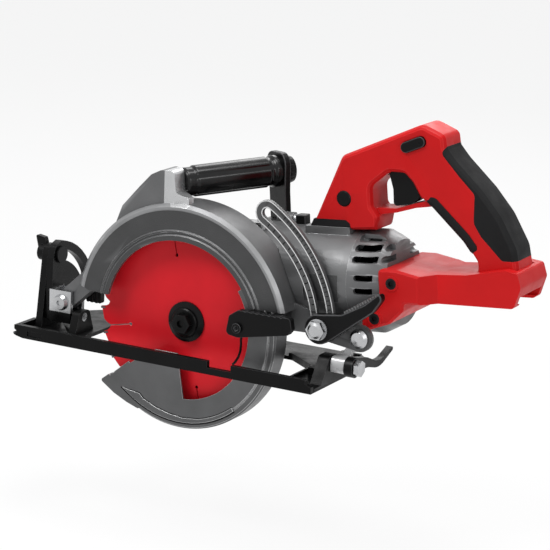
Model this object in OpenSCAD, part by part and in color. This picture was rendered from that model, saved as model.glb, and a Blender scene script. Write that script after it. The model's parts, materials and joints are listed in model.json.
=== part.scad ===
// Cordless worm drive circular saw, shown at full cutting depth with the foot square to the blade.
// X runs to the rear, Y towards the motor side, Z up. The sole of the foot is Z = 0, the blade stands in Y = 0
// and the arbor is above the origin.

/* [Blade] */
// Diameter of the saw blade
blade_d = 184; // [180:1:186]
// Thickness of the blade plate
blade_t = 1.6; // [1.2:0.1:2]
// Number of teeth
blade_teeth = 24; // [18:2:40]
// Depth of a tooth gullet
gullet_depth = 9; // [6:0.5:11]
// Diameter of the clamping flanges
flange_d = 37; // [32:1:40]

/* [Layout] */
// Height of the arbor above the sole at full depth
arbor_h = 32; // [31:0.5:36]
// Angle by which the motor and handle rise to the rear
body_tilt = 5; // [3:0.5:6]
// Distance of the motor axis from the blade plane
motor_y = 55; // [54:0.5:58]
// Height of the worm above the arbor
worm_rise = 38; // [38:0.5:40]

/* [Guards] */
// Outer radius of the upper guard
guard_r = 110; // [109:0.5:112]
// Radius of the open window in the upper guard
guard_window_r = 77; // [74:0.5:80]
// Wall of the guard castings
guard_wall = 2.5; // [2:0.25:3]
// Outside face of the upper guard, on the blade side
guard_face_y = 15; // [15:0.5:17]
// Back of the upper guard, on the motor side
guard_back_y = 20; // [19:0.5:21]
// Outer radius of the lower guard
lower_r = 97.5; // [96:0.5:99]
// Wall of the lower guard
lower_wall = 1.8; // [1.5:0.1:2.2]
// Radius of the hub that the lower guard turns on
hub_r = 26; // [25:0.5:26.5]

/* [Motor] */
// Radius of the motor housing
motor_r = 47; // [46:0.5:48]
// Wall of the motor housing
motor_wall = 4; // [3:0.5:4]
// Length of the motor housing between gear case and vent cap
motor_len = 88; // [86:1:90]
// Length of the vent cap
vent_len = 34; // [32:1:36]
// Height of a vent slot
vent_h = 5; // [4:0.5:6]

/* [Worm gear] */
// Teeth on the worm wheel
wheel_teeth = 12;
// Starts on the worm
worm_starts = 4;
// Pitch radius of the worm wheel
wheel_r = 20; // [19.5:0.25:20.5]

/* [Foot] */
// Left edge of the foot, from the blade
foot_left = 41; // [40:0.5:46]
// Right edge of the foot, from the blade
foot_right = 86; // [84:1:95]
// Front end of the foot, from the arbor
foot_front = 167; // [166:1:175]
// Rear end of the foot, from the arbor
foot_rear = 150; // [149:0.5:152]
// Thickness of the foot plate
foot_t = 3.5; // [3:0.25:4]
// Height of the rim along the foot
rim_h = 12; // [10:0.5:13]
// Height of the bevel pivot above the sole
bevel_h = 18; // [17:0.5:18]

/* [Depth setting] */
// Distance of the front pivot ahead of the arbor
pivot_x = 131; // [130:0.5:133]
// Height of the front pivot above the sole
pivot_z = 31; // [30.5:0.25:32]
// Distance of the depth bolt behind the arbor
bolt_x = 137; // [136:0.5:138]
// Height of the depth bolt above the sole
bolt_z = 48.5; // [48:0.5:49]
// Distance of the arm rivet behind the arbor
rivet_x = 173; // [172:0.5:174]
// Height of the arm rivet above the sole
rivet_z = 44; // [43:0.5:45]
// Travel of the depth setting
depth_swing = 24; // [18:1:24]
// Turn of the slotted arm for each degree of the depth setting
arm_ratio = 0.54; // [0.52:0.01:0.56]
// Radius of the depth bolt
bolt_r = 4; // [3.5:0.25:4]
// Width of each rail of the slotted arm
arm_rail = 7; // [6:0.5:7]
// Thickness of the slotted arm
arm_t = 4; // [3:0.5:4]

/* [Handles] */
// Radius of the front handle
barrel_r = 13.5; // [12.5:0.25:14]
// Length of the front handle
barrel_len = 96; // [92:1:100]
// Width of the rear handle
grip_w = 38; // [36:1:40]
// Width of the battery base
base_w = 84; // [82:1:86]
// Width over the battery rail
rail_w = 58; // [56:1:62]
// Width of the trigger
trigger_w = 20; // [18:1:22]

/* [Hidden] */
$fn = 72;

// Clearances
fit = 0.05;
gap = 0.5;

// Colours
steel = "#b9bcc0";
zinc = "#c9ccd0";
castgrey = "#8b8d90";
red = "#c8202b";
black = "#1b1b1d";
dark = "#3a3b3e";

// Rounded outlines: each point is [x, y] or [x, y, corner radius]
function unit(v) = v / norm(v);
function flat(p) = [p[0], p[1]];
function corner(a, b, c, r, n) =
    let(
        u = unit(a - b),
        v = unit(c - b),
        half = acos(max(-1, min(1, u * v))) / 2,
        centre = b + unit(u + v) * r / sin(half),
        first = b + u * r / tan(half) - centre,
        last = b + v * r / tan(half) - centre,
        a0 = atan2(first[1], first[0]),
        sweep = (atan2(last[1], last[0]) - a0 + 540) % 360 - 180
    )
    [for (i = [0 : n]) centre + r * [cos(a0 + sweep * i / n), sin(a0 + sweep * i / n)]];
function rounded(path, n = 6) =
    let(count = len(path))
    [for (i = [0 : count - 1])
        let(p = path[i], r = len(p) > 2 ? p[2] : 0)
        each (r > 0
            ? corner(flat(path[(i + count - 1) % count]), flat(p), flat(path[(i + 1) % count]), r, n)
            : [flat(p)])];
function ring(r, a0, a1, n) = [for (i = [0 : n]) r * [cos(a0 + (a1 - a0) * i / n), sin(a0 + (a1 - a0) * i / n)]];
function sector(r0, r1, a0, a1, n = 24) = concat(ring(r1, a0, a1, n), ring(r0, a1, a0, n));
// An outline moved inwards by d; the outline runs counter-clockwise
function inset(pts, d) =
    let(count = len(pts))
    [for (i = [0 : count - 1])
        let(t = unit(pts[(i + 1) % count] - pts[(i + count - 1) % count]))
        pts[i] + d * [-t[1], t[0]]];

// Triangles that fill an outline, cut off one ear at a time
function bend(a, b, c) = (b[0] - a[0]) * (c[1] - a[1]) - (b[1] - a[1]) * (c[0] - a[0]);
function holds(a, b, c, p) = bend(a, b, p) >= 0 && bend(b, c, p) >= 0 && bend(c, a, p) >= 0;
function near(order, k, step) = order[(k + step + len(order)) % len(order)];
function is_ear(pts, order, k) =
    let(i = near(order, k, -1), j = order[k], l = near(order, k, 1))
    bend(pts[i], pts[j], pts[l]) > 0
        && len([for (q = order) if (q != i && q != j && q != l && holds(pts[i], pts[j], pts[l], pts[q])) q]) == 0;
function first_ear(pts, order, k = 0) =
    k >= len(order) - 1 || is_ear(pts, order, k) ? k : first_ear(pts, order, k + 1);
function triangles(pts, order) =
    len(order) < 3 ? [] :
    let(k = first_ear(pts, order))
    concat([[near(order, k, -1), order[k], near(order, k, 1)]],
        triangles(pts, [for (i = [0 : len(order) - 1]) if (i != k) order[i]]));

// Extrusions: a side view between two Y values, a front view between two X values, rods along Y and X
module side(y0, y1) {
    translate([0, y1, 0]) rotate([90, 0, 0]) linear_extrude(y1 - y0) children();
}
module front(x0, x1) {
    translate([x0, 0, 0]) rotate([90, 0, 90]) linear_extrude(x1 - x0) children();
}
module rod_y(r, y0, y1) {
    translate([0, y1, 0]) rotate([90, 0, 0]) cylinder(r = r, h = y1 - y0);
}
module rod_x(r, x0, x1) {
    translate([x0, 0, 0]) rotate([0, 90, 0]) cylinder(r = r, h = x1 - x0);
}
// A profile of [radius, y] points turned about the Y axis
module turned_y(profile) {
    rotate([-90, 0, 0]) rotate_extrude() polygon(profile);
}
module turned_x(profile) {
    rotate([0, 90, 0]) rotate_extrude() polygon(profile);
}
// A side outline lofted through rings at given Y values, each moved inwards
module lofted(pts, levels) {
    count = len(pts);
    rings = [for (l = levels) let(p = inset(pts, l[1])) [for (q = p) [q[0], l[0], q[1]]]];
    last = len(levels) - 1;
    walls = [for (k = [0 : last - 1]) for (i = [0 : count - 1])
        let(j = (i + 1) % count, a = k * count, b = a + count)
        each [[a + i, a + j, b + j], [a + i, b + j, b + i]]];
    order = [for (i = [0 : count - 1]) i];
    caps = concat(
        [for (t = triangles(inset(pts, levels[0][1]), order)) [t[2], t[1], t[0]]],
        [for (t = triangles(inset(pts, levels[last][1]), order)) last * count * [1, 1, 1] + t]);
    polyhedron(points = [for (r = rings) each r], faces = concat(walls, caps));
}
module at_arbor() {
    translate([0, 0, arbor_h]) children();
}
module body_frame() {
    at_arbor() rotate([0, -body_tilt, 0]) children();
}
module motor_axis() {
    body_frame() translate([0, motor_y, worm_rise]) children();
}

// Heights and depths that several pieces share
back_wall = 4;
lower_front_y = -guard_face_y + guard_wall + 1;
lower_back_y = guard_back_y - back_wall - 6.2;
flange_t = 3.2;
hub_front_y = blade_t / 2 + flange_t + 1;
bearing_r = 17.5;
bearing_w = 10;
shaft_r = 8.5;
pivot = [-pivot_x, pivot_z - arbor_h];
bolt = [bolt_x, bolt_z - arbor_h];
rivet = [rivet_x, rivet_z - arbor_h];
lug_y0 = -5;
lug_y1 = 9;
pivot_bolt_r = 4;
arm_y0 = 2;
arm_y1 = arm_y0 + arm_t;
bolt_lug_y = arm_y1 + gap;
bolt_boss_y = bolt_lug_y + 7.5;
// Edge below which the upper guard is open, seen from the blade side
guard_end = 16.5;
guard_tail = 27;
guard_open = [
    [-2 * guard_r, -2 * guard_r], [2 * guard_r, -2 * guard_r], [2 * guard_r, guard_tail], [60, guard_tail],
    [60, 0], [-60, 0], [-60, guard_end], [-guard_r + 12.5, guard_end], [-guard_r + 3, guard_end + 4.5],
    [-2 * guard_r, guard_end + 14]
];
// Start and heading of the front handle
barrel_start = [-4, 10, 125.3];
barrel_turn = 58;
module barrel_frame() {
    body_frame() translate(barrel_start) rotate([0, 0, barrel_turn]) children();
}

module guard_back_outline() {
    difference() {
        circle(guard_r);
        polygon(guard_open);
    }
    polygon([[-72, guard_end + 6], [-34, -14], [34, -14], [72, guard_tail + 6]]);
    circle(hub_r);
}
module guard_rim() {
    face = -guard_face_y;
    difference() {
        turned_y([
            [guard_window_r, face - 1.2], [guard_window_r + 4.5, face - 1.2], [guard_window_r + 5.5, face],
            [guard_window_r + 7, face], [guard_window_r + 7.6, face - 0.8], [guard_window_r + 8.6, face - 0.8],
            [guard_window_r + 9.6, face + 0.7], [guard_r - 6, face + 0.7], [guard_r - 5, face],
            [guard_r - 3, face], [guard_r, face + 3], [guard_r, guard_back_y],
            [guard_r - guard_wall, guard_back_y], [guard_r - guard_wall, face + guard_wall],
            [guard_window_r, face + guard_wall]
        ]);
        side(-60, 60) polygon(guard_open);
    }
}
module guard_horn() {
    difference() {
        side(-9, 15)
            polygon(rounded([
                [-77, 72], [-66, 99.5, 6], [-48, 119.5, 10], [-36, 132, 8], [-26, 137, 5], [-12, 137.5, 4],
                [-10, 118, 4], [4, 115], [4, 100]
            ]));
        rod_y(guard_r - guard_wall, -60, 60);
        rotate([0, -body_tilt, 0]) translate(barrel_start) rotate([0, 0, barrel_turn]) translate([0, -60, -60])
            cube(120);
    }
}
module upper_guard() {
    color(castgrey) at_arbor() difference() {
        union() {
            guard_rim();
            side(guard_back_y - back_wall, guard_back_y) guard_back_outline();
            rod_y(hub_r, hub_front_y, guard_back_y);
            guard_horn();
            // Lug of the front pivot
            side(lug_y0, lug_y1) {
                translate(pivot) circle(9);
                polygon([pivot + [-6, 6.7], [-104, 36], [-97, 34], [-98, guard_end], pivot + [6, -6.7]]);
            }
            // Lug of the depth bolt, thin beside the motor
            side(bolt_lug_y, bolt_lug_y + 3.5)
                polygon([[guard_r - 8, guard_tail + 6], bolt + [-2, 8.2], bolt + [2, -8.2],
                    [guard_r - 6, guard_tail - 20], [guard_r - 7, guard_tail]]);
            translate([bolt[0], 0, bolt[1]]) rod_y(8.5, bolt_lug_y, bolt_boss_y);
        }
        rod_y(shaft_r + 2, -60, 60);
        rod_y(bearing_r + fit, hub_front_y + 2, guard_back_y + 1);
        turned_y([[hub_r - 1, hub_front_y + 1], [hub_r + 1, hub_front_y + 1],
            [hub_r + 1, hub_front_y + 2.2 + fit], [hub_r - 1, hub_front_y + 2.2 + fit]]);
        translate([pivot[0], 0, pivot[1]]) rod_y(pivot_bolt_r + fit, -60, 60);
        translate([bolt[0], 0, bolt[1]]) rod_y(bolt_r + fit, -60, 60);
    }
}
module guard_retainer() {
    color(steel) at_arbor() turned_y([[hub_r - 0.9, hub_front_y + 1 + fit], [hub_r + 3, hub_front_y + 1 + fit],
        [hub_r + 3, hub_front_y + 2.2], [hub_r - 0.9, hub_front_y + 2.2]]);
}
module dust_chute() {
    y0 = lug_y1 + 1.2;
    color(black) at_arbor() difference() {
        side(y0, guard_back_y - back_wall)
            polygon(rounded([[-116.5, -2, 2], [-100, -2, 2], [-99.5, guard_end + 0.94],
                [-guard_r + 3, guard_end + 4.5], [-111, guard_end + 4.83], [-115, guard_end + 5, 2]]));
        rod_y(lower_r + 1, -60, 60);
        for (x = [-114 : 5 : -104])
            translate([x, y0 - 1, -3]) cube([2.4, 2.5, 14]);
    }
}

// Blade train
function blade_tooth(k) =
    let(pitch = 360 / blade_teeth, r = blade_d / 2, a = k * pitch)
    [for (p = [[0, 0], [0.1, -1.2], [0.5, -2.6], [0.62, -gullet_depth * 0.55], [0.74, -gullet_depth],
        [0.86, -gullet_depth * 0.9], [0.95, -gullet_depth * 0.55]])
        (r + p[1]) * [cos(a + p[0] * pitch), sin(a + p[0] * pitch)]];
slot_len = 26;
module blade() {
    color(red) at_arbor() difference() {
        side(-blade_t / 2, blade_t / 2) difference() {
            polygon([for (k = [0 : blade_teeth - 1]) each blade_tooth(k)]);
            circle(shaft_r - 0.5 + fit);
            // Expansion slots with their end holes
            for (k = [0 : 3]) rotate(k * 90 + 11.5) {
                translate([blade_d / 2 - gullet_depth - slot_len + 4, -0.5]) square([slot_len, 1]);
                translate([blade_d / 2 - gullet_depth - slot_len + 4, 0]) circle(1.6);
            }
        }
    }
}
module inner_flange() {
    color(dark) at_arbor() difference() {
        turned_y([[0, blade_t / 2], [flange_d / 2, blade_t / 2], [flange_d / 2, blade_t / 2 + flange_t - 1],
            [flange_d / 2 - 3, blade_t / 2 + flange_t], [0, blade_t / 2 + flange_t]]);
        rod_y(shaft_r - 0.5 + fit, -60, 60);
    }
}
module outer_flange() {
    y0 = -blade_t / 2;
    color(dark) at_arbor() difference() {
        turned_y([[0, y0], [flange_d / 2, y0], [flange_d / 2, y0 - 1.6], [flange_d / 2 - 4, y0 - flange_t],
            [0, y0 - flange_t]]);
        rod_y(shaft_r - 0.5 + fit, y0 - 1.5, 60);
        rod_y(4 + fit, -60, 60);
    }
}
shaft_end_y = motor_y + 31;
module arbor_shaft() {
    color(steel) at_arbor() difference() {
        union() {
            rod_y(shaft_r - 0.5, -blade_t / 2 - 1, blade_t / 2 + flange_t);
            rod_y(shaft_r, blade_t / 2 + flange_t, shaft_end_y);
        }
        rod_y(4, -60, 16);
    }
}
module blade_bolt() {
    y0 = -blade_t / 2 - flange_t;
    color(black) at_arbor() {
        rod_y(4 - fit, y0, 14);
        turned_y([[0, y0], [13, y0], [13, y0 - 1.4], [12, y0 - 2.2], [0, y0 - 2.2]]);
        difference() {
            translate([0, y0 - 2.2, 0]) rotate([90, 0, 0]) cylinder(r = 9.4, h = 6.2, $fn = 6);
            rod_y(3.4, y0 - 9, y0 - 6);
        }
    }
}

// Worm gear: straight-flanked teeth, thinned for running clearance
gear_module = 2 * wheel_r / wheel_teeth;
worm_r = worm_rise - wheel_r;
tooth_add = 0.85 * gear_module;
tooth_ded = 1.15 * gear_module;
tooth_half = PI * gear_module / 4 - 0.45;
worm_lead = worm_starts * PI * gear_module;
worm_len = 34;
wheel_w = 14;
wheel_twist = wheel_w * worm_lead / (2 * PI * worm_r * wheel_r) * 180 / PI;
function wheel_tooth(k) =
    let(tip = tooth_half - tooth_add * tan(24), root = tooth_half + tooth_ded * tan(20))
    [for (p = [[-root, -tooth_ded], [-tooth_half, 0], [-tip, tooth_add], [tip, tooth_add], [tooth_half, 0],
        [root, -tooth_ded]])
        let(r = wheel_r + p[1], a = (k + 0.5) * 360 / wheel_teeth + p[0] / r * 180 / PI)
        r * [cos(a), sin(a)]];
function worm_thread(k) =
    let(tip = tooth_half - tooth_add * tan(20), root = tooth_half + tooth_ded * tan(20))
    [for (p = [[-root, -tooth_ded], [-tooth_half, 0], [-tip, tooth_add], [tip, tooth_add], [tooth_half, 0],
        [root, -tooth_ded]])
        let(a = k * 360 / worm_starts + p[0] / worm_lead * 360)
        (worm_r + p[1]) * [cos(a), sin(a)]];
module worm_wheel() {
    color("#b08d57") body_frame() translate([0, motor_y, 0]) rotate([-90, 0, 0]) difference() {
        linear_extrude(wheel_w, center = true, twist = -wheel_twist, slices = 4)
            rotate(-wheel_twist / 2)
            polygon([for (k = [0 : wheel_teeth - 1]) each wheel_tooth(k)]);
        cylinder(r = shaft_r, h = 60, center = true);
    }
}

// Stations along the motor axis, measured from above the arbor
nose_x = -42;
case_end = 70;
motor_end = case_end + motor_len;
cap_end = motor_end + vent_len;
cap_taper = cap_end - 16;
rotor_r = 5;
rotor_x0 = 113;
rotor_x1 = motor_end - 6;
inner_bearing_x = 44;
rear_bearing_x = cap_end - 9;
small_bearing_r = 11;
mid_bearing_r = 16;
small_bearing_w = 7;
stator_bore = 22.6;
cavity_r = motor_r - motor_wall;
shaft_tail_x = rear_bearing_x + small_bearing_w;
module rotor_shaft() {
    worm_twist = -360 * worm_len / worm_lead;
    color(steel) motor_axis() {
        rod_x(rotor_r, nose_x + 4, shaft_tail_x);
        rotate([0, 90, 0])
            linear_extrude(worm_len, center = true, twist = worm_twist, slices = 28, $fn = 24)
            rotate(worm_twist / 2)
            polygon([for (k = [0 : worm_starts - 1]) each worm_thread(k)]);
    }
}
module rotor_core() {
    color(dark) motor_axis() difference() {
        rod_x(stator_bore - 0.6, rotor_x0, rotor_x1);
        rod_x(rotor_r, rotor_x0 - 1, rotor_x1 + 1);
    }
}
module cooling_fan() {
    fan_x = motor_end + 4;
    fan_r = cavity_r - 6;
    color(black) motor_axis() difference() {
        union() {
            rod_x(fan_r, fan_x, fan_x + 2);
            rod_x(11, fan_x, fan_x + 12);
            for (k = [0 : 10]) rotate([k * 360 / 11, 0, 0])
                translate([fan_x + 1, 9, -1]) cube([11, fan_r - 10, 2]);
        }
        rod_x(rotor_r, fan_x - 1, fan_x + 20);
    }
}
module stator() {
    color("#6d3b1f") motor_axis() difference() {
        rod_x(cavity_r - fit, rotor_x0, rotor_x1 - 1);
        rod_x(stator_bore, rotor_x0 - 1, rotor_x1 + 1);
        for (k = [0 : 5]) rotate([k * 60 + 30, 0, 0])
            translate([rotor_x0 - 1, -5, stator_bore + 5]) cube([rotor_x1 - rotor_x0 + 2, 10, 7]);
    }
}
module bearing_x(x, r_out, r_in, w) {
    difference() {
        rod_x(r_out, x, x + w);
        rod_x(r_in, x - 1, x + w + 1);
        turned_x([[r_in + 1.5, x - 1], [r_out - 1.5, x - 1], [r_out - 1.5, x + 0.8], [r_in + 1.5, x + 0.8]]);
    }
}
module motor_bearings() {
    color(steel) motor_axis() {
        bearing_x(nose_x + 4, small_bearing_r, rotor_r + fit, small_bearing_w);
        bearing_x(inner_bearing_x, mid_bearing_r, rotor_r + fit, bearing_w);
        bearing_x(rear_bearing_x, small_bearing_r, rotor_r + fit, small_bearing_w);
    }
}
cover_y = 80;
cover_bearing_r = 15;
module arbor_bearings() {
    color(steel) at_arbor() {
        difference() {
            rod_y(bearing_r, hub_front_y + 2, hub_front_y + 2 + bearing_w);
            rod_y(shaft_r + fit, -60, 60);
        }
        difference() {
            rod_y(cover_bearing_r, cover_y - 4, cover_y + 6);
            rod_y(shaft_r + fit, 0, 120);
        }
    }
}
case_r = 27.5;
chamber_r = wheel_r + tooth_add + 1.5;
// Space taken by the upper guard, kept clear by the gear case and motor
module guard_space() {
    rod_y(guard_r + gap, -100, guard_back_y);
}
// Inside of the motor and gear case, with a flat wall beside the guard
module motor_cavity(x0, x1) {
    intersection() {
        translate([0, motor_y, worm_rise]) rod_x(cavity_r, x0, x1);
        union() {
            translate([x0, guard_back_y + motor_wall, -200]) cube([x1 - x0, 200, 400]);
            translate([rotor_x0 - 1, -200, -200]) cube([200, 400, 400]);
        }
    }
}
handle_boss = [[32, 74], [58, 104]];
boss_top = 80;
plug_r = 7;
plug_at = [58, motor_y - 15, worm_rise + 36];
// Ears that the screws between gear case and motor housing pass through
ear_screw_r = 2.5;
ear_t = 8;
module case_ears() {
    for (a = [75, 5, -65])
        translate([case_end, motor_y + (motor_r + 3) * cos(a), worm_rise + (motor_r + 3) * sin(a)]) children();
}
module gear_case() {
    color(castgrey) body_frame() difference() {
        union() {
            translate([0, motor_y, worm_rise])
                turned_x([[0, nose_x], [case_r - 5, nose_x], [case_r, nose_x + 5], [case_r, -26],
                    [motor_r, 22], [motor_r, case_end], [0, case_end]]);
            rod_y(case_r, guard_back_y, cover_y);
            translate([-case_r, guard_back_y, 0]) cube([2 * case_r, cover_y - guard_back_y, worm_rise]);
            translate([-case_r, guard_back_y, 10]) cube([case_r + 60, 24, worm_rise + 24]);
            translate([handle_boss[0][0], handle_boss[0][1], 50])
                cube([handle_boss[1][0] - handle_boss[0][0], handle_boss[1][1] - handle_boss[0][1],
                    boss_top - 50]);
            case_ears() rod_x(6, -ear_t, 0);
        }
        guard_space();
        rod_y(chamber_r, guard_back_y + 10, cover_y + 1);
        rod_y(case_r, cover_y, 200);
        rod_y(shaft_r + 2, 0, 60);
        translate([0, motor_y, worm_rise]) {
            rod_x(worm_r + tooth_add + 1.2, nose_x + 4 + small_bearing_w, inner_bearing_x - 4);
            rod_x(small_bearing_r + fit, nose_x + 4, 0);
            rod_x(mid_bearing_r + fit, inner_bearing_x, 100);
            rod_x(rotor_r + 2, nose_x + 2, 100);
        }
        motor_cavity(inner_bearing_x + bearing_w + 3, case_end + 1);
        translate(plug_at) cylinder(r = plug_r + fit, h = 60);
        case_ears() rod_x(ear_screw_r + fit, -20, 20);
    }
}
module case_cover() {
    color(castgrey) body_frame() difference() {
        turned_y([[0, cover_y - 6], [chamber_r - fit, cover_y - 6], [chamber_r - fit, cover_y],
            [case_r - 1, cover_y], [case_r - 1, cover_y + 3], [20, cover_y + 4], [18, cover_y + 10],
            [0, cover_y + 10]]);
        rod_y(cover_bearing_r + fit, 0, cover_y + 6);
    }
}
module case_screws() {
    color(steel) body_frame() case_ears() {
        rod_x(ear_screw_r, -ear_t, ear_t);
        difference() {
            rod_x(4.5, ear_t, ear_t + 4);
            translate([ear_t + 2, 0, 0]) rotate([0, 90, 0]) cylinder(r = 2.4, h = 5, $fn = 6);
        }
    }
}
module oil_plug() {
    color(steel) body_frame() translate(plug_at) difference() {
        union() {
            cylinder(r = plug_r, h = 13);
            translate([0, 0, 11]) cylinder(r = 9.5, h = 3);
        }
        translate([0, 0, 12]) cylinder(r = 3.6, h = 5, $fn = 6);
    }
}
// Flat side panel of the motor housing, on the blade side
panel_z = [-13, 12];
module motor_housing() {
    color(castgrey) body_frame() difference() {
        union() {
            translate([0, motor_y, worm_rise])
                turned_x([[0, case_end], [motor_r, case_end], [motor_r, motor_end - 8],
                    [motor_r - 1, motor_end],
                    [0, motor_end]]);
            case_ears() rod_x(6, 0, ear_t);
            translate([seat_x[0], motor_y - grip_w / 2 - 1, worm_rise + 20])
                cube([seat_x[1] - seat_x[0], grip_w + 2, seat_top - worm_rise - 20]);
        }
        guard_space();
        motor_cavity(case_end - 1, motor_end + 1);
        case_ears() rod_x(ear_screw_r + fit, -20, 20);
        case_ears() rod_x(5, ear_t, ear_t + 14);
        translate(lock_at - [lock_size / 2 + 0.4, lock_size / 2 + 0.4, 10])
            cube([lock_size + 0.8, lock_size + 0.8, 40]);
        translate([guard_r + 6, motor_y - motor_r - 5, worm_rise + panel_z[0]])
            cube([34, 6.5, panel_z[1] - panel_z[0]]);
    }
}
// Rows of vent slots: height above the axis, start, and how far they run; the upper rows run out to the rear
vent_rows = [[35, 3, vent_len], [26, 3, vent_len], [16, 3, vent_len], [1, 7, 17], [-11, 7, 17]];
module vent_cap() {
    cap_r = motor_r - 1;
    color(castgrey) body_frame() difference() {
        translate([0, motor_y, worm_rise])
            turned_x([[0, motor_end], [cap_r, motor_end], [cap_r, cap_taper], [cap_r - 8, cap_end],
                [0, cap_end]]);
        for (p = base_screws)
            translate([p[0], motor_y - boss_face(p), p[1]]) rod_y(screw_r + fit, 0, base_screw_len + 4);
        translate([0, motor_y, worm_rise]) {
            rod_x(cavity_r - 1, motor_end - 1, rear_bearing_x - 4);
            rod_x(small_bearing_r + fit, motor_end, rear_bearing_x + small_bearing_w);
        }
        for (row = vent_rows) for (s = [-1, 1])
            translate([motor_end + row[1], motor_y + s * 36, worm_rise + row[0]]) {
                translate([0, -22, -vent_h / 2]) cube([row[2], 44, vent_h]);
                rod_y(vent_h / 2, -22, 22);
            }
    }
}

// Front handle
module front_handle() {
    color(black) barrel_frame() difference() {
        union() {
            turned_x([[0, 0], [barrel_r - 1, 0], [barrel_r, 1.5], [barrel_r, barrel_len - 6],
                [barrel_r + 1.5, barrel_len - 3], [barrel_r + 1.5, barrel_len], [0, barrel_len]]);
            // Raised panels along the grip
            for (a = [20, 110, 200, 290]) rotate([a, 0, 0])
                translate([12, -6, barrel_r - 2]) cube([barrel_len - 26, 12, 2.4]);
        }
        rod_x(5 + fit, -1, barrel_len + 1);
    }
}
strap_t = 6;
strap_drop = barrel_start[2] - boss_top;
module handle_bracket() {
    color(black) barrel_frame() difference() {
        front(barrel_len, barrel_len + strap_t)
            polygon(rounded([[-15, -strap_drop - 12, 3], [15, -strap_drop - 12, 3], [15, -18, 10],
                [17.5, 4, 8], [17.5, 17.5, 10], [-17.5, 17.5, 10], [-17.5, 4, 8], [-15, -18, 10]]));
        rod_x(5 + fit, 0, 200);
        // Foot of the strap, square to the boss on the gear case
        translate([barrel_len - 20, -40, -strap_drop - 60]) cube([60, 80, 60]);
    }
}
module handle_end_cap() {
    color(black) barrel_frame() {
        rod_x(5, 0, barrel_len + strap_t + 2);
        difference() {
            turned_x([[0, barrel_len + strap_t], [13, barrel_len + strap_t], [13.5, barrel_len + strap_t + 3],
                [12, barrel_len + strap_t + 9], [0, barrel_len + strap_t + 9]]);
            for (k = [0 : 11]) rotate([k * 30, 0, 0])
                translate([barrel_len + strap_t + 2, 0, 14]) rod_x(1.6, 0, 10);
        }
    }
}

// Rear handle, in side view from the motor side's own frame: [distance behind the arbor, height above it]
grip_path = rounded([
    [109.5, 83], [174, 86], [178, 98, 5], [171.5, 107, 5], [171, 125, 8], [189, 138, 8], [203, 137.5, 6],
    [211, 129, 8], [218, 116, 8], [229, 110, 8], [258, 81, 30], [270, 63, 8], [270, 48], [306.5, 48],
    [308.2, 56], [305.5, 76, 20], [292, 103, 40], [276, 124, 40], [252, 149, 14], [243.5, 160, 5],
    [242.5, 171, 6], [222, 180.5, 10], [143, 150.5, 9]
], 3);
base_path = rounded([
    [170, 0, 4], [197, 9, 6], [210, 21, 5], [211, 27.5, 2], [308, 27.5, 4], [315, 46, 4], [312, 58, 3],
    [300, 60], [264, 54], [226, 52.5, 10], [205, 57, 8], [187, 57, 4], [187, 31, 5], [170, 12, 5]
], 3);
// Socket in the battery base that takes the foot of the grip
grip_socket = [[270, 48], [306.5, 48], [308.2, 56], [307.4, 62], [270, 62]];
guard_strip = rounded([
    [169, 105], [171, 98.5, 2], [192, 101.5, 12], [211, 106.5, 12], [235, 109.5], [231, 115], [211, 110.5, 12],
    [192, 105.2, 12]
], 3);
rubber_zone = rounded([
    [246, 166], [240, 156, 4], [256, 137, 10], [270, 122, 6], [268.5, 97, 10], [275, 86, 8], [294, 66, 4],
    [330, 66], [330, 130], [275, 165]
], 3);
// Seat of the handle on the motor housing, and the gasket between them
seat_top = 87.5;
seat_x = [106, 150];
gasket_zone = [[90, 80], [152, 80], [150, 91], [146, 94], [90, 94]];
gasket_outline = [[111, seat_top], [seat_x[1], seat_top], [150, 91], [146, 94], [114.5, 94]];
trigger_pivot = [196, 143];
trigger_path = rounded([
    [185, 138], [189, 122, 10], [189, 107, 3], [205, 109, 8], [214, 115, 3], [210, 126, 8], [208, 146, 4],
    [191, 148, 4]
]);
trigger_space = [[182, 118], [213, 116.5], [224, 118], [219, 140], [214, 151], [183, 152]];
button_at = [214, 163];
button_tilt = 20;
cap_at = [145, 113];
screw_r = 2;
screw_head_r = 5;
base_screws = [[200, 45], [183, 13]];
grip_screws = [[150, 140], [228, 152], [262, 84]];
board_box = [[214, 38.5], [292, 46]];
board_w = 42;
grip_levels = [[-grip_w / 2, 3.6], [-grip_w / 2 + 1.5, 1.6], [-grip_w / 2 + 5, 0], [0, 0]];
grip_both = concat(grip_levels, [for (k = [2 : -1 : 0]) [-grip_levels[k][0], grip_levels[k][1]]]);
base_levels = [[-base_w / 2, 2], [-base_w / 2 + 2, 0], [base_w / 2 - 2, 0], [base_w / 2, 2]];
// Frame in the middle plane of the rear handle
module handle_frame() {
    body_frame() translate([0, motor_y, 0]) children();
}
module slot_2d(len, r) {
    translate([-len / 2 + r, 0]) circle(r);
    translate([len / 2 - r, 0]) circle(r);
    translate([-len / 2 + r, -r]) square([len - 2 * r, 2 * r]);
}
module button_outline(grow) {
    translate(button_at) rotate(button_tilt) slot_2d(24 + 2 * grow, 4.6 + grow);
}
// Space of the motor housing and vent cap, cut out of the handle
motor_clear = 0.3;
module motor_space() {
    r = motor_r + motor_clear;
    translate([0, 0, worm_rise])
        turned_x([[0, 0], [r, 0], [r, motor_end], [r - 1, cap_taper], [r - 9, cap_end + motor_clear],
            [0, cap_end + motor_clear]]);
}
// Half the width of that space at a screw of the battery base, and the face that the screw's boss rises to
function space_r(x) = x > cap_end ? 0 : motor_r - 1 - 8 * max(0, x - cap_taper) / (cap_end - cap_taper);
function half_space(p) = sqrt(max(0, pow(space_r(p[0]), 2) - pow(p[1] - worm_rise, 2)));
function boss_face(p) = max(base_w / 2, half_space(p) + 6) + 0.8;
base_screw_len = base_w / 2 - 29;
switch_box = [[181, 151], [201, 162]];
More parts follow.
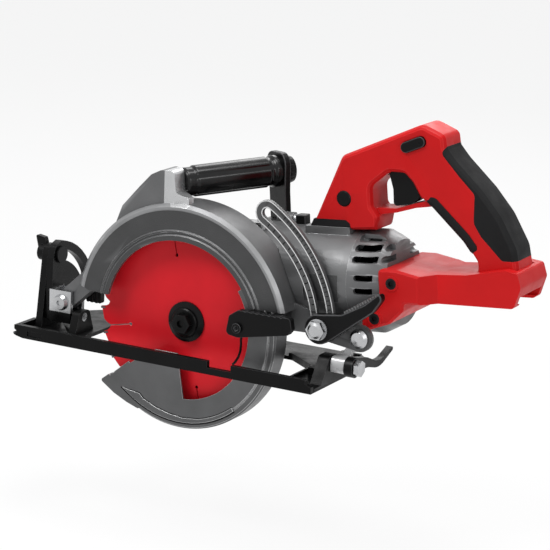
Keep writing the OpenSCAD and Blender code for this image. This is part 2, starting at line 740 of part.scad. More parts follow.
// Both halves together, before they part at the middle plane
module handle_body() {
    inner = grip_w / 2 - 5;
    difference() {
        union() {
            lofted(grip_path, grip_both);
            side(-11, 11) polygon(guard_strip);
        }
        motor_space();
        side(-50, 50) polygon(rubber_zone);
        side(-50, 50) polygon(gasket_zone);
        side(-trigger_w / 2 - gap, trigger_w / 2 + gap) polygon(trigger_space);
        side(-9 - fit, 9 + fit) translate(switch_box[0]) square(switch_box[1] - switch_box[0]);
        side(-inner, inner) polygon([[228, 146], [248, 112], [259, 95], [264, 95], [258, 110], [240, 136]]);
        translate([trigger_pivot[0], 0, trigger_pivot[1]])
            rod_y(2.5 + fit, -trigger_w / 2 - 4, trigger_w / 2 + 4);
    }
}
module handle_left() {
    color(red) handle_frame() difference() {
        handle_body();
        translate([0, 0, -100]) cube([500, 100, 400]);
        side(-50, -2) button_outline(0.4);
        translate([cap_at[0], 0, cap_at[1]]) rod_y(7 + fit, -50, -grip_w / 2 + 3);
        for (p = grip_screws)
            translate([p[0], 0, p[1]]) rod_y(screw_r + fit, -9, 1);
    }
}
module handle_right() {
    color(red) handle_frame() difference() {
        handle_body();
        translate([0, -100, -100]) cube([500, 100, 400]);
        translate([cap_at[0], 0, cap_at[1]]) rod_y(7 + fit, grip_w / 2 - 3, 50);
        for (p = grip_screws) translate([p[0], 0, p[1]]) {
            rod_y(screw_r + fit, -1, grip_w / 2 - 1);
            rod_y(screw_head_r + fit, grip_w / 2 - 3, 60);
        }
    }
}
module battery_base() {
    color(red) handle_frame() difference() {
        union() {
            intersection() {
                lofted(base_path, base_levels);
                // The cheeks beside the motor narrow to the battery rail
                translate([0, 0, -20]) linear_extrude(100)
                    polygon([[160, -60], [206, -60], [238, -rail_w / 2], [330, -rail_w / 2], [330, rail_w / 2],
                        [238, rail_w / 2], [206, 60], [160, 60]]);
            }
            for (p = base_screws)
                translate([p[0], 0, p[1]]) rod_y(screw_head_r + 1.6, -boss_face(p), -boss_face(p) + 12);
        }
        motor_space();
        side(-grip_w / 2, grip_w / 2) polygon(grip_socket);
        side(-board_w / 2, board_w / 2) translate(board_box[0]) square(board_box[1] - board_box[0]);
        // Battery channel, open at the rear, with a lip each side
        translate([224, -rail_w / 2 + 6, 30]) cube([140, rail_w - 12, 7]);
        translate([224, -rail_w / 2 + 11, 0]) cube([140, rail_w - 22, 32]);
        side(-18, 18) polygon([[212, 30], [226, 30], [226, 37], [212, 37]]);
        for (p = base_screws) translate([p[0], -boss_face(p), p[1]]) {
            rod_y(screw_r + fit, 1, base_screw_len + 4);
            rod_y(screw_head_r + fit, -1, 3);
        }
    }
}
module rubber_grip() {
    color(black) handle_frame() intersection() {
        lofted(grip_path, grip_both);
        side(-50, 50) polygon(rubber_zone);
    }
}
module handle_gasket() {
    color(dark) handle_frame() side(-grip_w / 2, grip_w / 2) polygon(gasket_outline);
}
module handle_caps() {
    y1 = -grip_w / 2 + 3;
    color(black) handle_frame() for (s = [0, 1]) mirror([0, s, 0])
        translate([cap_at[0], 0, cap_at[1]])
            turned_y([[0, y1], [7, y1], [7, y1 - 3], [6, y1 - 4], [0, y1 - 4]]);
}
// A screw whose head lies under y = 0 and whose shank runs up to y = length
module hex_screw(length) {
    rod_y(screw_r, 0, length);
    difference() {
        rod_y(screw_head_r, -3, 0);
        translate([0, -1.5, 0]) rotate([90, 0, 0]) cylinder(r = 2.6, h = 5, $fn = 6);
    }
}
module handle_screws() {
    color(black) handle_frame() {
        for (p = base_screws)
            translate([p[0], -boss_face(p) + 3, p[1]]) hex_screw(base_screw_len);
        for (p = grip_screws)
            translate([p[0], grip_w / 2 - 3, p[1]]) rotate([0, 0, 180]) hex_screw(grip_w / 2 + 6);
    }
}
module switch_block() {
    color(dark) handle_frame() {
        side(-9, 9) translate(switch_box[0]) square(switch_box[1] - switch_box[0]);
    }
}
module control_board() {
    color("#2f6b3a") handle_frame() {
        side(-board_w / 2, board_w / 2) translate(board_box[0]) square([board_box[1][0] - board_box[0][0], 2]);
        for (x = [222, 240, 262])
            translate([x, -14, board_box[0][1] + 2]) cube([12, 28, 5]);
    }
}
module battery_contacts() {
    color("#c9a24b") handle_frame() {
        side(-18, 18) polygon([[212, 30], [223, 30], [223, 37], [212, 37]]);
        for (y = [-12, -4, 4, 12])
            translate([223, y - 0.5, 31]) cube([14, 1, 5]);
    }
}
module trigger() {
    color(black) handle_frame() difference() {
        side(-trigger_w / 2, trigger_w / 2) polygon(trigger_path);
        translate([trigger_pivot[0], 0, trigger_pivot[1]]) rod_y(2.5 + fit, -50, 50);
    }
}
module trigger_pin() {
    color(steel) handle_frame() translate([trigger_pivot[0], 0, trigger_pivot[1]])
        rod_y(2.5, -trigger_w / 2 - 4, trigger_w / 2 + 4);
}
module lock_button() {
    color(black) handle_frame() side(-grip_w / 2 - 2.5, -9.5) button_outline(0);
}
lock_at = [92, motor_y + 2, worm_rise + motor_r - 6];
lock_size = 10;
module spindle_lock() {
    color(black) body_frame() translate(lock_at) {
        translate([-lock_size / 2, -lock_size / 2, 0]) cube([lock_size, lock_size, 14]);
    }
}

// Lower guard, closed; it turns about the arbor and its rear end rises inside the upper guard
lower_a0 = 219;
lower_a1 = 394;
lower_window_r = 70;
lever_post = [66, 10];
module lower_guard() {
    f = lower_front_y;
    b = lower_back_y;
    color("#97999c") at_arbor() difference() {
        union() {
            difference() {
                turned_y([[lower_window_r, f], [lower_r - 8, f], [lower_r - 7.4, f + 0.6],
                    [lower_r - 6.6, f + 0.6],
                    [lower_r - 6, f], [lower_r - 1.5, f], [lower_r, f + 1.5], [lower_r, b],
                    [hub_r + fit, b], [hub_r + fit, b - lower_wall], [lower_r - lower_wall, b - lower_wall],
                    [lower_r - lower_wall, f + lower_wall], [lower_window_r, f + lower_wall]]);
                // Open part of the turn, all but the hub ring
                side(-60, 60) difference() {
                    polygon(concat([[0, 0]], ring(2 * lower_r, lower_a1 - 360, lower_a0, 12)));
                    circle(hub_r + 6);
                }
            }
            // Cheek in front of the blade, ahead of the window
            side(f, f + lower_wall) intersection() {
                circle(lower_r - 1.5);
                polygon([[-82, -66], [-47.7, -42], [-26, -28], [-2.6, -28], [4.6, -lower_window_r], [20, -120],
                    [-82, -120]]);
            }
            // Pointed nose
            side(f, b) difference() {
                polygon(rounded([[-85, -67, 2], [-76, -60], [-38, -86], [-44, -87.4], [-56, -83.4],
                    [-70, -77]]));
                circle(lower_r - lower_wall);
            }
            // Pad of the lift lever
            side(f, f + lower_wall) {
                translate(lever_post) circle(8);
                polygon([lever_post + [0, 8], [72, 20], [78, -4], lever_post + [0, -8]]);
            }
        }
        translate([lever_post[0], 0, lever_post[1]]) rod_y(2 + fit, -60, 0);
    }
}
lever_y1 = -guard_face_y - 2.2;
lever_y0 = lever_y1 - 7;
module guard_lever() {
    color(black) at_arbor() difference() {
        union() {
            side(lever_y0, lever_y1)
                polygon(rounded([[54, 3, 4], [66, 1, 6], [116, 11, 3], [120, 16, 3], [118, 26.5, 3],
                    [66, 26, 4], [57, 20, 4]]));
            translate([lever_post[0], 0, lever_post[1]]) rod_y(5, lever_y1, lower_front_y);
        }
        translate([lever_post[0], 0, lever_post[1]]) rod_y(2 + fit, -60, 0);
        // Grip grooves along the top edge
        for (x = [72 : 6 : 108])
            translate([x, lever_y0 - 1, 25.5]) cube([2, 9, 2]);
    }
}
module lever_screw() {
    color(steel) at_arbor() translate([lever_post[0], 0, lever_post[1]]) {
        rod_y(2, lever_y0, lower_front_y + lower_wall);
        difference() {
            rod_y(4.5, lever_y0 - 2.6, lever_y0);
            translate([0, lever_y0 - 1.4, 0]) rotate([90, 0, 0]) cylinder(r = 2.2, h = 4, $fn = 6);
        }
    }
}
// Flat spiral spring round the hub
spring_turns = 3;
spring_pitch = 3;
module guard_spring() {
    steps = 24 * spring_turns;
    r0 = hub_r + 0.8;
    line = [for (i = [0 : steps])
        (r0 + spring_pitch * i / 24) * [cos(i * 15), sin(i * 15)]];
    back = [for (i = [steps : -1 : 0])
        (r0 + 0.9 + spring_pitch * i / 24) * [cos(i * 15), sin(i * 15)]];
    color(steel) at_arbor() side(lower_back_y + 0.6, guard_back_y - back_wall - 0.4)
        polygon(concat(line, back));
}

// Front tilt bracket and its quadrant
bevel_z = bevel_h - arbor_h;
ear_t1 = 4;
ear_gap = 0.5;
bracket_y0 = lug_y0 - ear_gap - ear_t1;
bracket_y1 = lug_y1 + ear_gap + ear_t1;
pin_r = 4;
bracket_x0 = pivot[0] - 13;
module front_bracket() {
    color(zinc) at_arbor() difference() {
        side(bracket_y0, bracket_y1)
            polygon(rounded([pivot + [-13, -19.5], pivot + [10, -19.5, 3], pivot + [11, 11, 10.5],
                pivot + [-13, 11, 2]]));
        side(lug_y0 - ear_gap, lug_y1 + ear_gap)
            polygon([pivot + [-9.8, -9.5], pivot + [20, -9.5], pivot + [20, 20], pivot + [-9.8, 20]]);
        translate([pivot[0], 0, pivot[1]]) rod_y(pivot_bolt_r + fit, -60, 60);
        translate([0, 0, bevel_z]) rod_x(pin_r + fit, -200, 0);
    }
}
module pivot_bolt() {
    y0 = bracket_y0;
    color(zinc) at_arbor() translate([pivot[0], 0, pivot[1]]) {
        rod_y(pivot_bolt_r, y0, bracket_y1);
        difference() {
            turned_y([[0, y0], [7.5, y0], [7.5, y0 - 1], [6, y0 - 4], [0, y0 - 4.4]]);
            translate([0, y0 - 2.5, 0]) rotate([90, 0, 0]) cylinder(r = 2.6, h = 5, $fn = 6);
        }
        translate([0, bracket_y1 + 4, 0]) rotate([90, 0, 0]) cylinder(r = 7, h = 4, $fn = 6);
    }
}
bevel_swing = 53;
stud_r = 4;
stud_orbit = 54;
stud_angle = 81.5;
quadrant_t = 7;
quadrant_r = 67;
quadrant_x1 = bracket_x0;
quadrant_x0 = quadrant_x1 - quadrant_t;
module quadrant_outline(grow) {
    polygon(rounded(concat(
        [[-6 + grow, bevel_z - 6]],
        [[-4 + grow, bevel_z + quadrant_r - 16, 4], [0, bevel_z + quadrant_r - 4, 6]],
        [for (a = [82 : -8 : 18]) (quadrant_r - grow) * [cos(a), sin(a)] + [0, bevel_z]],
        [[bracket_y1, bevel_z - 6]]
    )));
}
module bevel_quadrant() {
    slot_w = stud_r + 1;
    color(black) at_arbor() difference() {
        front(quadrant_x0, quadrant_x1) quadrant_outline(0);
        front(quadrant_x0 - 1, quadrant_x1 + 1) translate([0, bevel_z]) {
            polygon(sector(stud_orbit - slot_w, stud_orbit + slot_w, stud_angle - bevel_swing, stud_angle));
            for (a = [stud_angle - bevel_swing, stud_angle])
                translate(stud_orbit * [cos(a), sin(a)]) circle(slot_w);
        }
        translate([0, 0, bevel_z]) rod_x(pin_r + fit, -200, 0);
    }
}
stud_yz = [stud_orbit * cos(stud_angle), bevel_z + stud_orbit * sin(stud_angle)];
post_x1 = quadrant_x0 - gap;
post_x0 = post_x1 - 7;
module bevel_stud() {
    color(steel) at_arbor() translate([0, stud_yz[0], stud_yz[1]]) {
        rod_x(stud_r, post_x0 - 8, quadrant_x1 + 2.5);
        rod_x(8, quadrant_x1 + gap, quadrant_x1 + 2.5);
    }
}
module wing_lever() {
    color(black) at_arbor() translate([0, stud_yz[0], stud_yz[1]]) difference() {
        union() {
            rod_x(8, post_x0 - 7, post_x0 - gap);
            side(-2.5, 2.5)
                polygon(rounded([[post_x0 - gap, -6], [post_x0 - gap, 10], [post_x0 - 2, 14.5, 1],
                    [post_x0 - 12, 16, 1.5], [post_x0 - 7, -6]]));
        }
        rod_x(stud_r + fit, -300, 0);
    }
}

// Slotted depth arm: the slot is the path of the depth bolt as seen from the arm
function turn(v, a) = [cos(a) * v[0] - sin(a) * v[1], sin(a) * v[0] + cos(a) * v[1]];
function bolt_path(t) = rivet + turn(pivot + turn(bolt - pivot, t) - rivet, arm_ratio * t);
function path_normal(t) = let(d = unit(bolt_path(t + 0.5) - bolt_path(t - 0.5))) [d[1], -d[0]];
slot_half = bolt_r + 0.6;
path_steps = 16;
path_end = depth_swing + 1.5;
// The path widened to w each side, with a round end at each end of the bolt's travel
function arm_band(w) = concat(
    [for (i = [0 : path_steps]) let(t = path_end * i / path_steps) bolt_path(t) + w * path_normal(t)],
    [for (k = [1 : 9]) bolt_path(path_end) + w * turn(path_normal(path_end), 18 * k)],
    [for (i = [path_steps : -1 : 0]) let(t = path_end * i / path_steps) bolt_path(t) - w * path_normal(t)],
    [for (k = [1 : 9]) bolt_path(0) - w * turn(path_normal(0), 18 * k)]);
rivet_r = 5;
arm_eye = 12;
// Outline of the arm: round the slot at one end and round the rivet at the other
function arm_outline(w) = concat(
    [for (i = [1 : path_steps]) let(t = path_end * i / path_steps) bolt_path(t) + w * path_normal(t)],
    [for (k = [1 : 9]) bolt_path(path_end) + w * turn(path_normal(path_end), 18 * k)],
    [for (i = [path_steps : -1 : 0]) let(t = path_end * i / path_steps) bolt_path(t) - w * path_normal(t)],
    [for (k = [1 : 4]) bolt_path(0) - w * turn(path_normal(0), 18 * k)],
    [for (p = ring(arm_eye, -110, 80, 16)) rivet + p]);
module depth_arm() {
    color(zinc) at_arbor() difference() {
        side(arm_y0, arm_y1) polygon(arm_outline(slot_half + arm_rail));
        side(arm_y0 - 1, arm_y1 + 1) polygon(arm_band(slot_half));
        translate([rivet[0], 0, rivet[1]]) rod_y(rivet_r + fit, arm_y0 - 1, arm_y1 + 1);
        // Scale marks along the front rail
        for (i = [2 : path_steps - 1]) {
            t = path_end * i / path_steps;
            p = bolt_path(t) - (slot_half + arm_rail * (i % 2 == 0 ? 0.55 : 0.4)) * path_normal(t);
            translate([p[0], arm_y0, p[1]]) rotate([0, -atan2(path_normal(t)[1], path_normal(t)[0]), 0])
                cube([arm_rail * (i % 2 == 0 ? 0.7 : 0.45), 0.8, 0.9], center = true);
        }
    }
}
bracket_x = [foot_rear + gap, foot_rear + 13.5];
rivet_ear_y = arm_y1 + gap;
rear_bracket_y1 = rivet_ear_y + 4;
module rear_bracket() {
    color(zinc) at_arbor() difference() {
        union() {
            side(rivet_ear_y, rear_bracket_y1) {
                translate(rivet) circle(9);
                polygon([rivet + [-9, 0], rivet + [9, 0], rivet + [0, -13], [bracket_x[1], bevel_z + 11.5],
                    [bracket_x[1], bevel_z], [bracket_x[0], bevel_z]]);
            }
            translate([0, 0, bevel_z]) front(bracket_x[0], bracket_x[1])
                polygon(rounded([[-7, -6.5, 4], [rear_bracket_y1, -6.5, 3], [rear_bracket_y1, 8, 3],
                    [-7, 8, 5]]));
        }
        translate([0, 0, bevel_z]) rod_x(pin_r + fit, 0, 300);
        translate([rivet[0], 0, rivet[1]]) rod_y(rivet_r + fit, -60, 60);
    }
}
module arm_rivet() {
    y0 = arm_y0 - 0.3;
    color(zinc) at_arbor() translate([rivet[0], 0, rivet[1]]) {
        rod_y(rivet_r, y0, rear_bracket_y1);
        turned_y([[0, y0], [8.5, y0], [8.5, y0 - 1.5], [6, y0 - 3.6], [2, y0 - 4.4], [0, y0 - 4.4]]);
        turned_y([[0, rear_bracket_y1], [7, rear_bracket_y1], [5, rear_bracket_y1 + 2.4],
            [0, rear_bracket_y1 + 2.4]]);
    }
}
lever_hub_y1 = arm_y0 - gap;
lever_hub_y0 = lever_hub_y1 - 9;
module depth_lever() {
    color(black) at_arbor() difference() {
        side(lever_hub_y0, lever_hub_y1) translate(bolt)
            polygon(concat(ring(13.5, 105, 300, 18), rounded([[10, -10], [28, 4, 14], [52, 23, 10], [60, 35, 5],
                [57.5, 41, 2], [44, 29, 10], [22, 16.5, 12], [1, 13.4]])));
        translate([bolt[0], 0, bolt[1]]) rod_y(bolt_r, -60, 60);
    }
}
module depth_bolt() {
    y0 = lever_hub_y0;
    color(zinc) at_arbor() translate([bolt[0], 0, bolt[1]]) {
        rod_y(bolt_r, y0, bolt_boss_y);
        rod_y(9.5, y0 - 1.4, y0);
        translate([0, y0 - 1.4, 0]) rotate([90, 0, 0]) cylinder(r = 9, h = 5, $fn = 6);
        turned_y([[0, y0 - 6.4], [7, y0 - 6.4], [5, y0 - 7.4], [0, y0 - 7.8]]);
    }
}

// Foot casting with its opening for the blade and lower guard
open_front = 103;
open_rear = 118;
open_left = 29;
open_right = 43;
post_w = 8;
rear_post_x = foot_rear - 11;
module foot_outline() {
    polygon(rounded([[-foot_front, -foot_left, 9], [foot_rear, -foot_left, 7], [foot_rear, 34, 5],
        [foot_rear - 12, foot_right, 8], [-foot_front + 34, foot_right, 12], [-foot_front, 52, 22]]));
}
module foot_opening() {
    polygon(rounded([[-open_front, -open_left, 5], [open_rear, -open_left, 5], [open_rear, 20, 5],
        [86, open_right, 6], [-open_front, open_right, 5]]));
}
module foot() {
    rim_t = 4.5;
    notch = [46, 70];
    color(black) difference() {
        union() {
            linear_extrude(foot_t) foot_outline();
            // Rims along both edges and across the front
            translate([-foot_front + 8, -foot_left, 0]) cube([foot_front + foot_rear - 14, rim_t, rim_h]);
            translate([-foot_front, -foot_left + 8, 0]) cube([rim_t, 84, rim_h - 3]);
            // Lip round the blade opening
            linear_extrude(foot_t + 3) difference() {
                intersection() {
                    foot_outline();
                    translate([open_rear - 36, -open_left - 5]) square([50, open_left + open_right + 12]);
                }
                translate([open_rear + 2, -60]) square([50, 200]);
                foot_opening();
            }
            // Ribbed bar across the rear, on the motor side
            translate([open_rear + 6, 2, 0]) cube([8, foot_right - 14, rim_h - 2]);
            for (y = [12 : 12 : foot_right - 14])
                translate([open_rear + 2, y, 0]) cube([foot_rear - open_rear - 12, 3, rim_h - 4]);
            // Post of the front pivot and of the bevel stud
            front(post_x0, post_x1)
                polygon(rounded([[-12, 0], [22, 0], [stud_yz[0] + 9, stud_yz[1] + arbor_h, 4],
                    [stud_yz[0] + 6, stud_yz[1] + arbor_h + 9, 5], [stud_yz[0] - 6, stud_yz[1] + arbor_h + 9, 5],
                    [stud_yz[0] - 9, stud_yz[1] + arbor_h, 4]]));
            // Post of the rear pivot, with a web along the rail
            front(rear_post_x, foot_rear)
                polygon(rounded([[-24, 0], [20, 0], [post_w, bevel_h + 8, 6], [-post_w, bevel_h + 8, 6]]));
            front(-pivot_x + 12, -pivot_x + 20)
                polygon(rounded([[-16, 0], [16, 0], [post_w, bevel_h + 6, 5], [-post_w, bevel_h + 6, 5]]));
            translate([rear_post_x - 26, -foot_left, 0]) side(0, rim_t)
                polygon([[0, rim_h], [20, rim_h], [37, rim_h - 6], [37, 0], [0, 0]]);
        }
        translate([0, 0, -1]) linear_extrude(foot_t + 20) foot_opening();
        translate([notch[0], -foot_left - 1, 6]) cube([notch[1] - notch[0], rim_t + 2, rim_h]);
        // Turned-up nose
        side(-100, 200) polygon([[-foot_front - 20, -5], [-foot_front + 15, -5], [-foot_front + 15, 0],
            [-foot_front + 4, 2.2], [-foot_front - 1, 6], [-foot_front - 20, 12]]);
        translate([0, 0, bevel_h]) rod_x(pin_r, -300, 300);
        translate([0, stud_yz[0], stud_yz[1] + arbor_h]) rod_x(stud_r, -300, 0);
        // Sight notch at the nose and slot of the rip fence
        translate([-foot_front - 1, -1.5, -1]) cube([12, 3, 30]);
        translate([-foot_front + 20, -60, foot_t - 1]) cube([16, 20, 5]);
    }
}
module bevel_pins() {
    color(steel) at_arbor() translate([0, 0, bevel_z]) {
        rod_x(pin_r, post_x0, -pivot_x + 20);
        rod_x(pin_r, rear_post_x, bracket_x[1] + 9);
        translate([bracket_x[1] + 9, 0, 0]) rotate([0, 90, 0]) cylinder(r = 7.5, h = 5, $fn = 6);
    }
}
module bevel_lever() {
    x0 = bracket_x[1] + gap;
    color(black) at_arbor() translate([0, 0, bevel_z]) difference() {
        union() {
            rod_x(9, x0, x0 + 8);
            front(x0 + 1, x0 + 7)
                polygon(rounded([[0, 8.8], [24, 4, 30], [48, -6, 30], [74, 3, 1.5], [75, -0.5, 1.5],
                    [48, -11.5, 30], [22, -4.5, 30], [0, -8.8]]));
        }
        rod_x(pin_r + fit, 0, 300);
    }
}

upper_guard();
guard_retainer();
dust_chute();
gear_case();
case_cover();
case_screws();
oil_plug();
motor_housing();
vent_cap();
stator();
motor_bearings();
arbor_bearings();
front_handle();
handle_bracket();
handle_end_cap();
handle_left();
handle_right();
rubber_grip();
battery_base();
handle_gasket();
handle_caps();
handle_screws();
switch_block();
control_board();
battery_contacts();
arbor_shaft();
worm_wheel();
inner_flange();
outer_flange();
blade();
blade_bolt();
rotor_shaft();
rotor_core();
cooling_fan();
lower_guard();
guard_lever();
lever_screw();
guard_spring();
front_bracket();
bevel_quadrant();
pivot_bolt();
rear_bracket();
arm_rivet();
depth_arm();
depth_lever();
depth_bolt();
foot();
bevel_pins();
bevel_stud();
wing_lever();
bevel_lever();
trigger();
trigger_pin();
lock_button();
spindle_lock();
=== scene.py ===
import json
import math

import bmesh
import bpy
from mathutils import Matrix, Vector


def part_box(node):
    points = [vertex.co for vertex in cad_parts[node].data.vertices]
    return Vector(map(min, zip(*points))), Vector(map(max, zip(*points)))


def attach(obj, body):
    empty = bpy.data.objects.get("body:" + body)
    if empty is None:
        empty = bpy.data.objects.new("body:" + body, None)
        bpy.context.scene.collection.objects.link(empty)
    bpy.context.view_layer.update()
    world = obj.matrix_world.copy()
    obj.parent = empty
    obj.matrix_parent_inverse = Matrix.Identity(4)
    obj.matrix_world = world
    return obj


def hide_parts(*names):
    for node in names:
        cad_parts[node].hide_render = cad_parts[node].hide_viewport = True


bl_info = {
    "name": "Worm drive circular saw",
    "version": (1, 0, 0),
    "blender": (4, 5, 0),
    "location": "View3D > Sidebar > Saw",
    "description": "Dresses the packed model of a cordless worm drive circular saw",
    "category": "Object",
}

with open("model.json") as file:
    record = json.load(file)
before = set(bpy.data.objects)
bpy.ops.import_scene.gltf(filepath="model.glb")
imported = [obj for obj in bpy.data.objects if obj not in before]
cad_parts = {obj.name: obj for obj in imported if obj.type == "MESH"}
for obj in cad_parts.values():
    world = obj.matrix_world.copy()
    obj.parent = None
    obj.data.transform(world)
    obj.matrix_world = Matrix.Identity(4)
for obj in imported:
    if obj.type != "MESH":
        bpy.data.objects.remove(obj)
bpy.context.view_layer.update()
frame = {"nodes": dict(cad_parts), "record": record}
MM = 0.001
ARBOR_HEIGHT = 32 * MM
BODY_TILT = math.radians(5)
# Middle plane of the motor and the rear handle, and the motor's axis above the arbor, in mm
MIDDLE_Y, MOTOR_RISE = 55, 38
# Ends of the bare neck on the guard's horn and of the front bracket's bright part, in mm from the arbor
NECK_X, NECK_Z = -22, 106
BRACKET_Z = -10.5
# Places of the depth setting in mm, as X and height over the sole: front pivot, clamp bolt and the arm's rivet
DEPTH_PIVOT, DEPTH_BOLT, ARM_RIVET = Vector((-131, 31)), Vector((137, 48.5)), Vector((173, 44))
# Depth range in degrees, the arm's turn for each degree of it, and the front face of the arm in mm
DEPTH_SWING, ARM_RATIO, ARM_FACE_Y = 24, 0.54, 2
# The floor lies below the foot at the limits of depth and bevel together, so that it hides no part of it
FLOOR_HEIGHT, FLOOR_HALF = -0.163, 6
PHOTO_PIXELS = 550


class SawColours(bpy.types.PropertyGroup):
    """Colours of the saw's finishes, as linear values"""

    red_shell: bpy.props.FloatVectorProperty(
        name="Red shell", description="Moulded shell of the rear handle", subtype="COLOR", size=3,
        default=(0.52, 0.010, 0.011), min=0, max=1)
    blade_red: bpy.props.FloatVectorProperty(
        name="Blade coat", description="Coating on the blade's disc", subtype="COLOR", size=3,
        default=(0.66, 0.012, 0.02), min=0, max=1)
    cast_grey: bpy.props.FloatVectorProperty(
        name="Cast grey", description="Paint on the cast guard, gear case and motor", subtype="COLOR", size=3,
        default=(0.125, 0.126, 0.128), min=0, max=1)
    guard_grey: bpy.props.FloatVectorProperty(
        name="Lower guard", description="Blasted metal of the lower guard", subtype="COLOR", size=3,
        default=(0.112, 0.113, 0.115), min=0, max=1)
    soft_black: bpy.props.FloatVectorProperty(
        name="Black plastic", description="Levers, caps and the front handle", subtype="COLOR", size=3,
        default=(0.0035, 0.0035, 0.0037), min=0, max=1)
    rubber_black: bpy.props.FloatVectorProperty(
        name="Rubber", description="Soft grip at the back of the handle", subtype="COLOR", size=3,
        default=(0.008, 0.008, 0.0085), min=0, max=1)
    foot_black: bpy.props.FloatVectorProperty(
        name="Foot", description="Coated metal of the foot", subtype="COLOR", size=3,
        default=(0.0022, 0.0022, 0.0023), min=0, max=1)
    bright_zinc: bpy.props.FloatVectorProperty(
        name="Bright metal", description="Plated brackets and bolts", subtype="COLOR", size=3,
        default=(0.5, 0.505, 0.515), min=0, max=1)


class SawSizes(bpy.types.PropertyGroup):
    """Sizes of the details that are added to the solids"""

    edge_round: bpy.props.FloatProperty(
        name="Edge round", description="Rounding along the edges of cast pieces",
        default=0.9 * MM, min=0.1 * MM, max=3 * MM, subtype="DISTANCE", unit="LENGTH")
    tooth_count: bpy.props.IntProperty(
        name="Teeth", description="Carbide tips round the blade", default=24, min=12, max=60)
    blade_radius: bpy.props.FloatProperty(
        name="Blade radius", description="Radius that the carbide tips reach",
        default=92 * MM, min=80 * MM, max=100 * MM, subtype="DISTANCE", unit="LENGTH")
    tip_length: bpy.props.FloatProperty(
        name="Tip length", description="Length of a carbide tip along the tooth's face",
        default=4.6 * MM, min=3 * MM, max=10 * MM, subtype="DISTANCE", unit="LENGTH")
    tick_length: bpy.props.FloatProperty(
        name="Tick length", description="Length of a mark on the rear rail of the depth arm",
        default=3.4 * MM, min=1 * MM, max=6 * MM, subtype="DISTANCE", unit="LENGTH")


def colours():
    return bpy.context.scene.saw_colours


def sizes():
    return bpy.context.scene.saw_sizes


class Wiring:
    """A material under construction: nodes are added by type and joined by name"""

    def __init__(self, name):
        self.material = bpy.data.materials.new(name)
        self.material.use_nodes = True
        self.tree = self.material.node_tree
        self.shader = self.tree.nodes["Principled BSDF"]
        self.place = self.add("ShaderNodeTexCoord").outputs["Object"]

    def add(self, kind, **settings):
        node = self.tree.nodes.new(kind)
        for key, value in settings.items():
            setattr(node, key, value)
        return node

    def join(self, source, target):
        self.tree.links.new(source, target)

    def noise(self, scale, detail, rough=0.55, stretch=(1, 1, 1)):
        mapping = self.add("ShaderNodeMapping")
        mapping.inputs["Scale"].default_value = stretch
        self.join(self.place, mapping.inputs["Vector"])
        node = self.add("ShaderNodeTexNoise")
        node.inputs["Scale"].default_value = scale
        node.inputs["Detail"].default_value = detail
        node.inputs["Roughness"].default_value = rough
        self.join(mapping.outputs["Vector"], node.inputs["Vector"])
        return node.outputs["Fac"]

    def spread(self, value, low, high, start=0.3, end=0.7):
        node = self.add("ShaderNodeMapRange")
        node.inputs["From Min"].default_value = start
        node.inputs["From Max"].default_value = end
        node.inputs["To Min"].default_value = low
        node.inputs["To Max"].default_value = high
        self.join(value, node.inputs["Value"])
        return node.outputs["Result"]

    def blend(self, factor, first, second):
        node = self.add("ShaderNodeMix", data_type="RGBA")
        self.join(factor, node.inputs["Factor"])
        for socket, colour in (("A", first), ("B", second)):
            slot = [i for i in node.inputs if i.name == socket and i.type == "RGBA"][0]
            if isinstance(colour, bpy.types.NodeSocket):
                self.join(colour, slot)
            else:
                slot.default_value = (*colour[:3], 1)
        return [o for o in node.outputs if o.type == "RGBA"][0]

    def edges(self, low, high):
        """A value that is 1 on sharp outer edges, where wear and a painted highlight go"""
        geometry = self.add("ShaderNodeNewGeometry")
        return self.spread(geometry.outputs["Pointiness"], 0, 1, low, high)

    def bump(self, *layers):
        """Bump layers of (height, strength, distance), the first one innermost"""
        normal = None
        for height, strength, distance in layers:
            node = self.add("ShaderNodeBump")
            node.inputs["Strength"].default_value = strength
            node.inputs["Distance"].default_value = distance
            self.join(height, node.inputs["Height"])
            if normal is not None:
                self.join(normal, node.inputs["Normal"])
            normal = node.outputs["Normal"]
        self.join(normal, self.shader.inputs["Normal"])

    def set(self, **values):
        """Sets inputs of the shader, with _ for each space in a name"""
        for key, value in values.items():
            self.shader.inputs[key.replace("_", " ")].default_value = value

    def colour(self, socket):
        self.join(socket, self.shader.inputs["Base Color"])

    def rough(self, socket):
        self.join(socket, self.shader.inputs["Roughness"])


def shade(colour, factor):
    """A lighter or darker colour"""
    return tuple(min(1.0, c * factor) for c in colour)


def cast_paint(name, colour, rough=0.4, metal=0.5, grain=0.35):
    """Cast metal, painted or bare, with a sandy grain and a painted highlight along its sharp edges"""
    w = Wiring(name)
    cloud = w.noise(22, 3)
    speck = w.noise(900, 2)
    base = w.blend(w.spread(cloud, 0, 1), shade(colour, 0.86), shade(colour, 1.12))
    # Sharp edges are lightened 2.2 times as a painted highlight
    w.colour(w.blend(w.edges(0.57, 0.69), base, shade(colour, 2.2)))
    w.rough(w.spread(w.noise(60, 5), rough - 0.08, rough + 0.1))
    w.bump((w.noise(1600, 3), grain, 0.00012), (speck, grain, 0.00035))
    w.set(Metallic=metal, Specular_IOR_Level=0.4)
    return w.material


def moulded_plastic(name, colour, rough, grain, gloss=0.3):
    """Hard plastic with a fine grain"""
    w = Wiring(name)
    cloud = w.noise(14, 3)
    w.colour(w.blend(w.spread(cloud, 0, 1), shade(colour, 0.9), shade(colour, 1.08)))
    w.rough(w.spread(w.noise(80, 5), rough - 0.06, rough + 0.08))
    w.bump((w.noise(1200, 2), grain, 0.00006))
    w.set(Specular_IOR_Level=gloss)
    return w.material


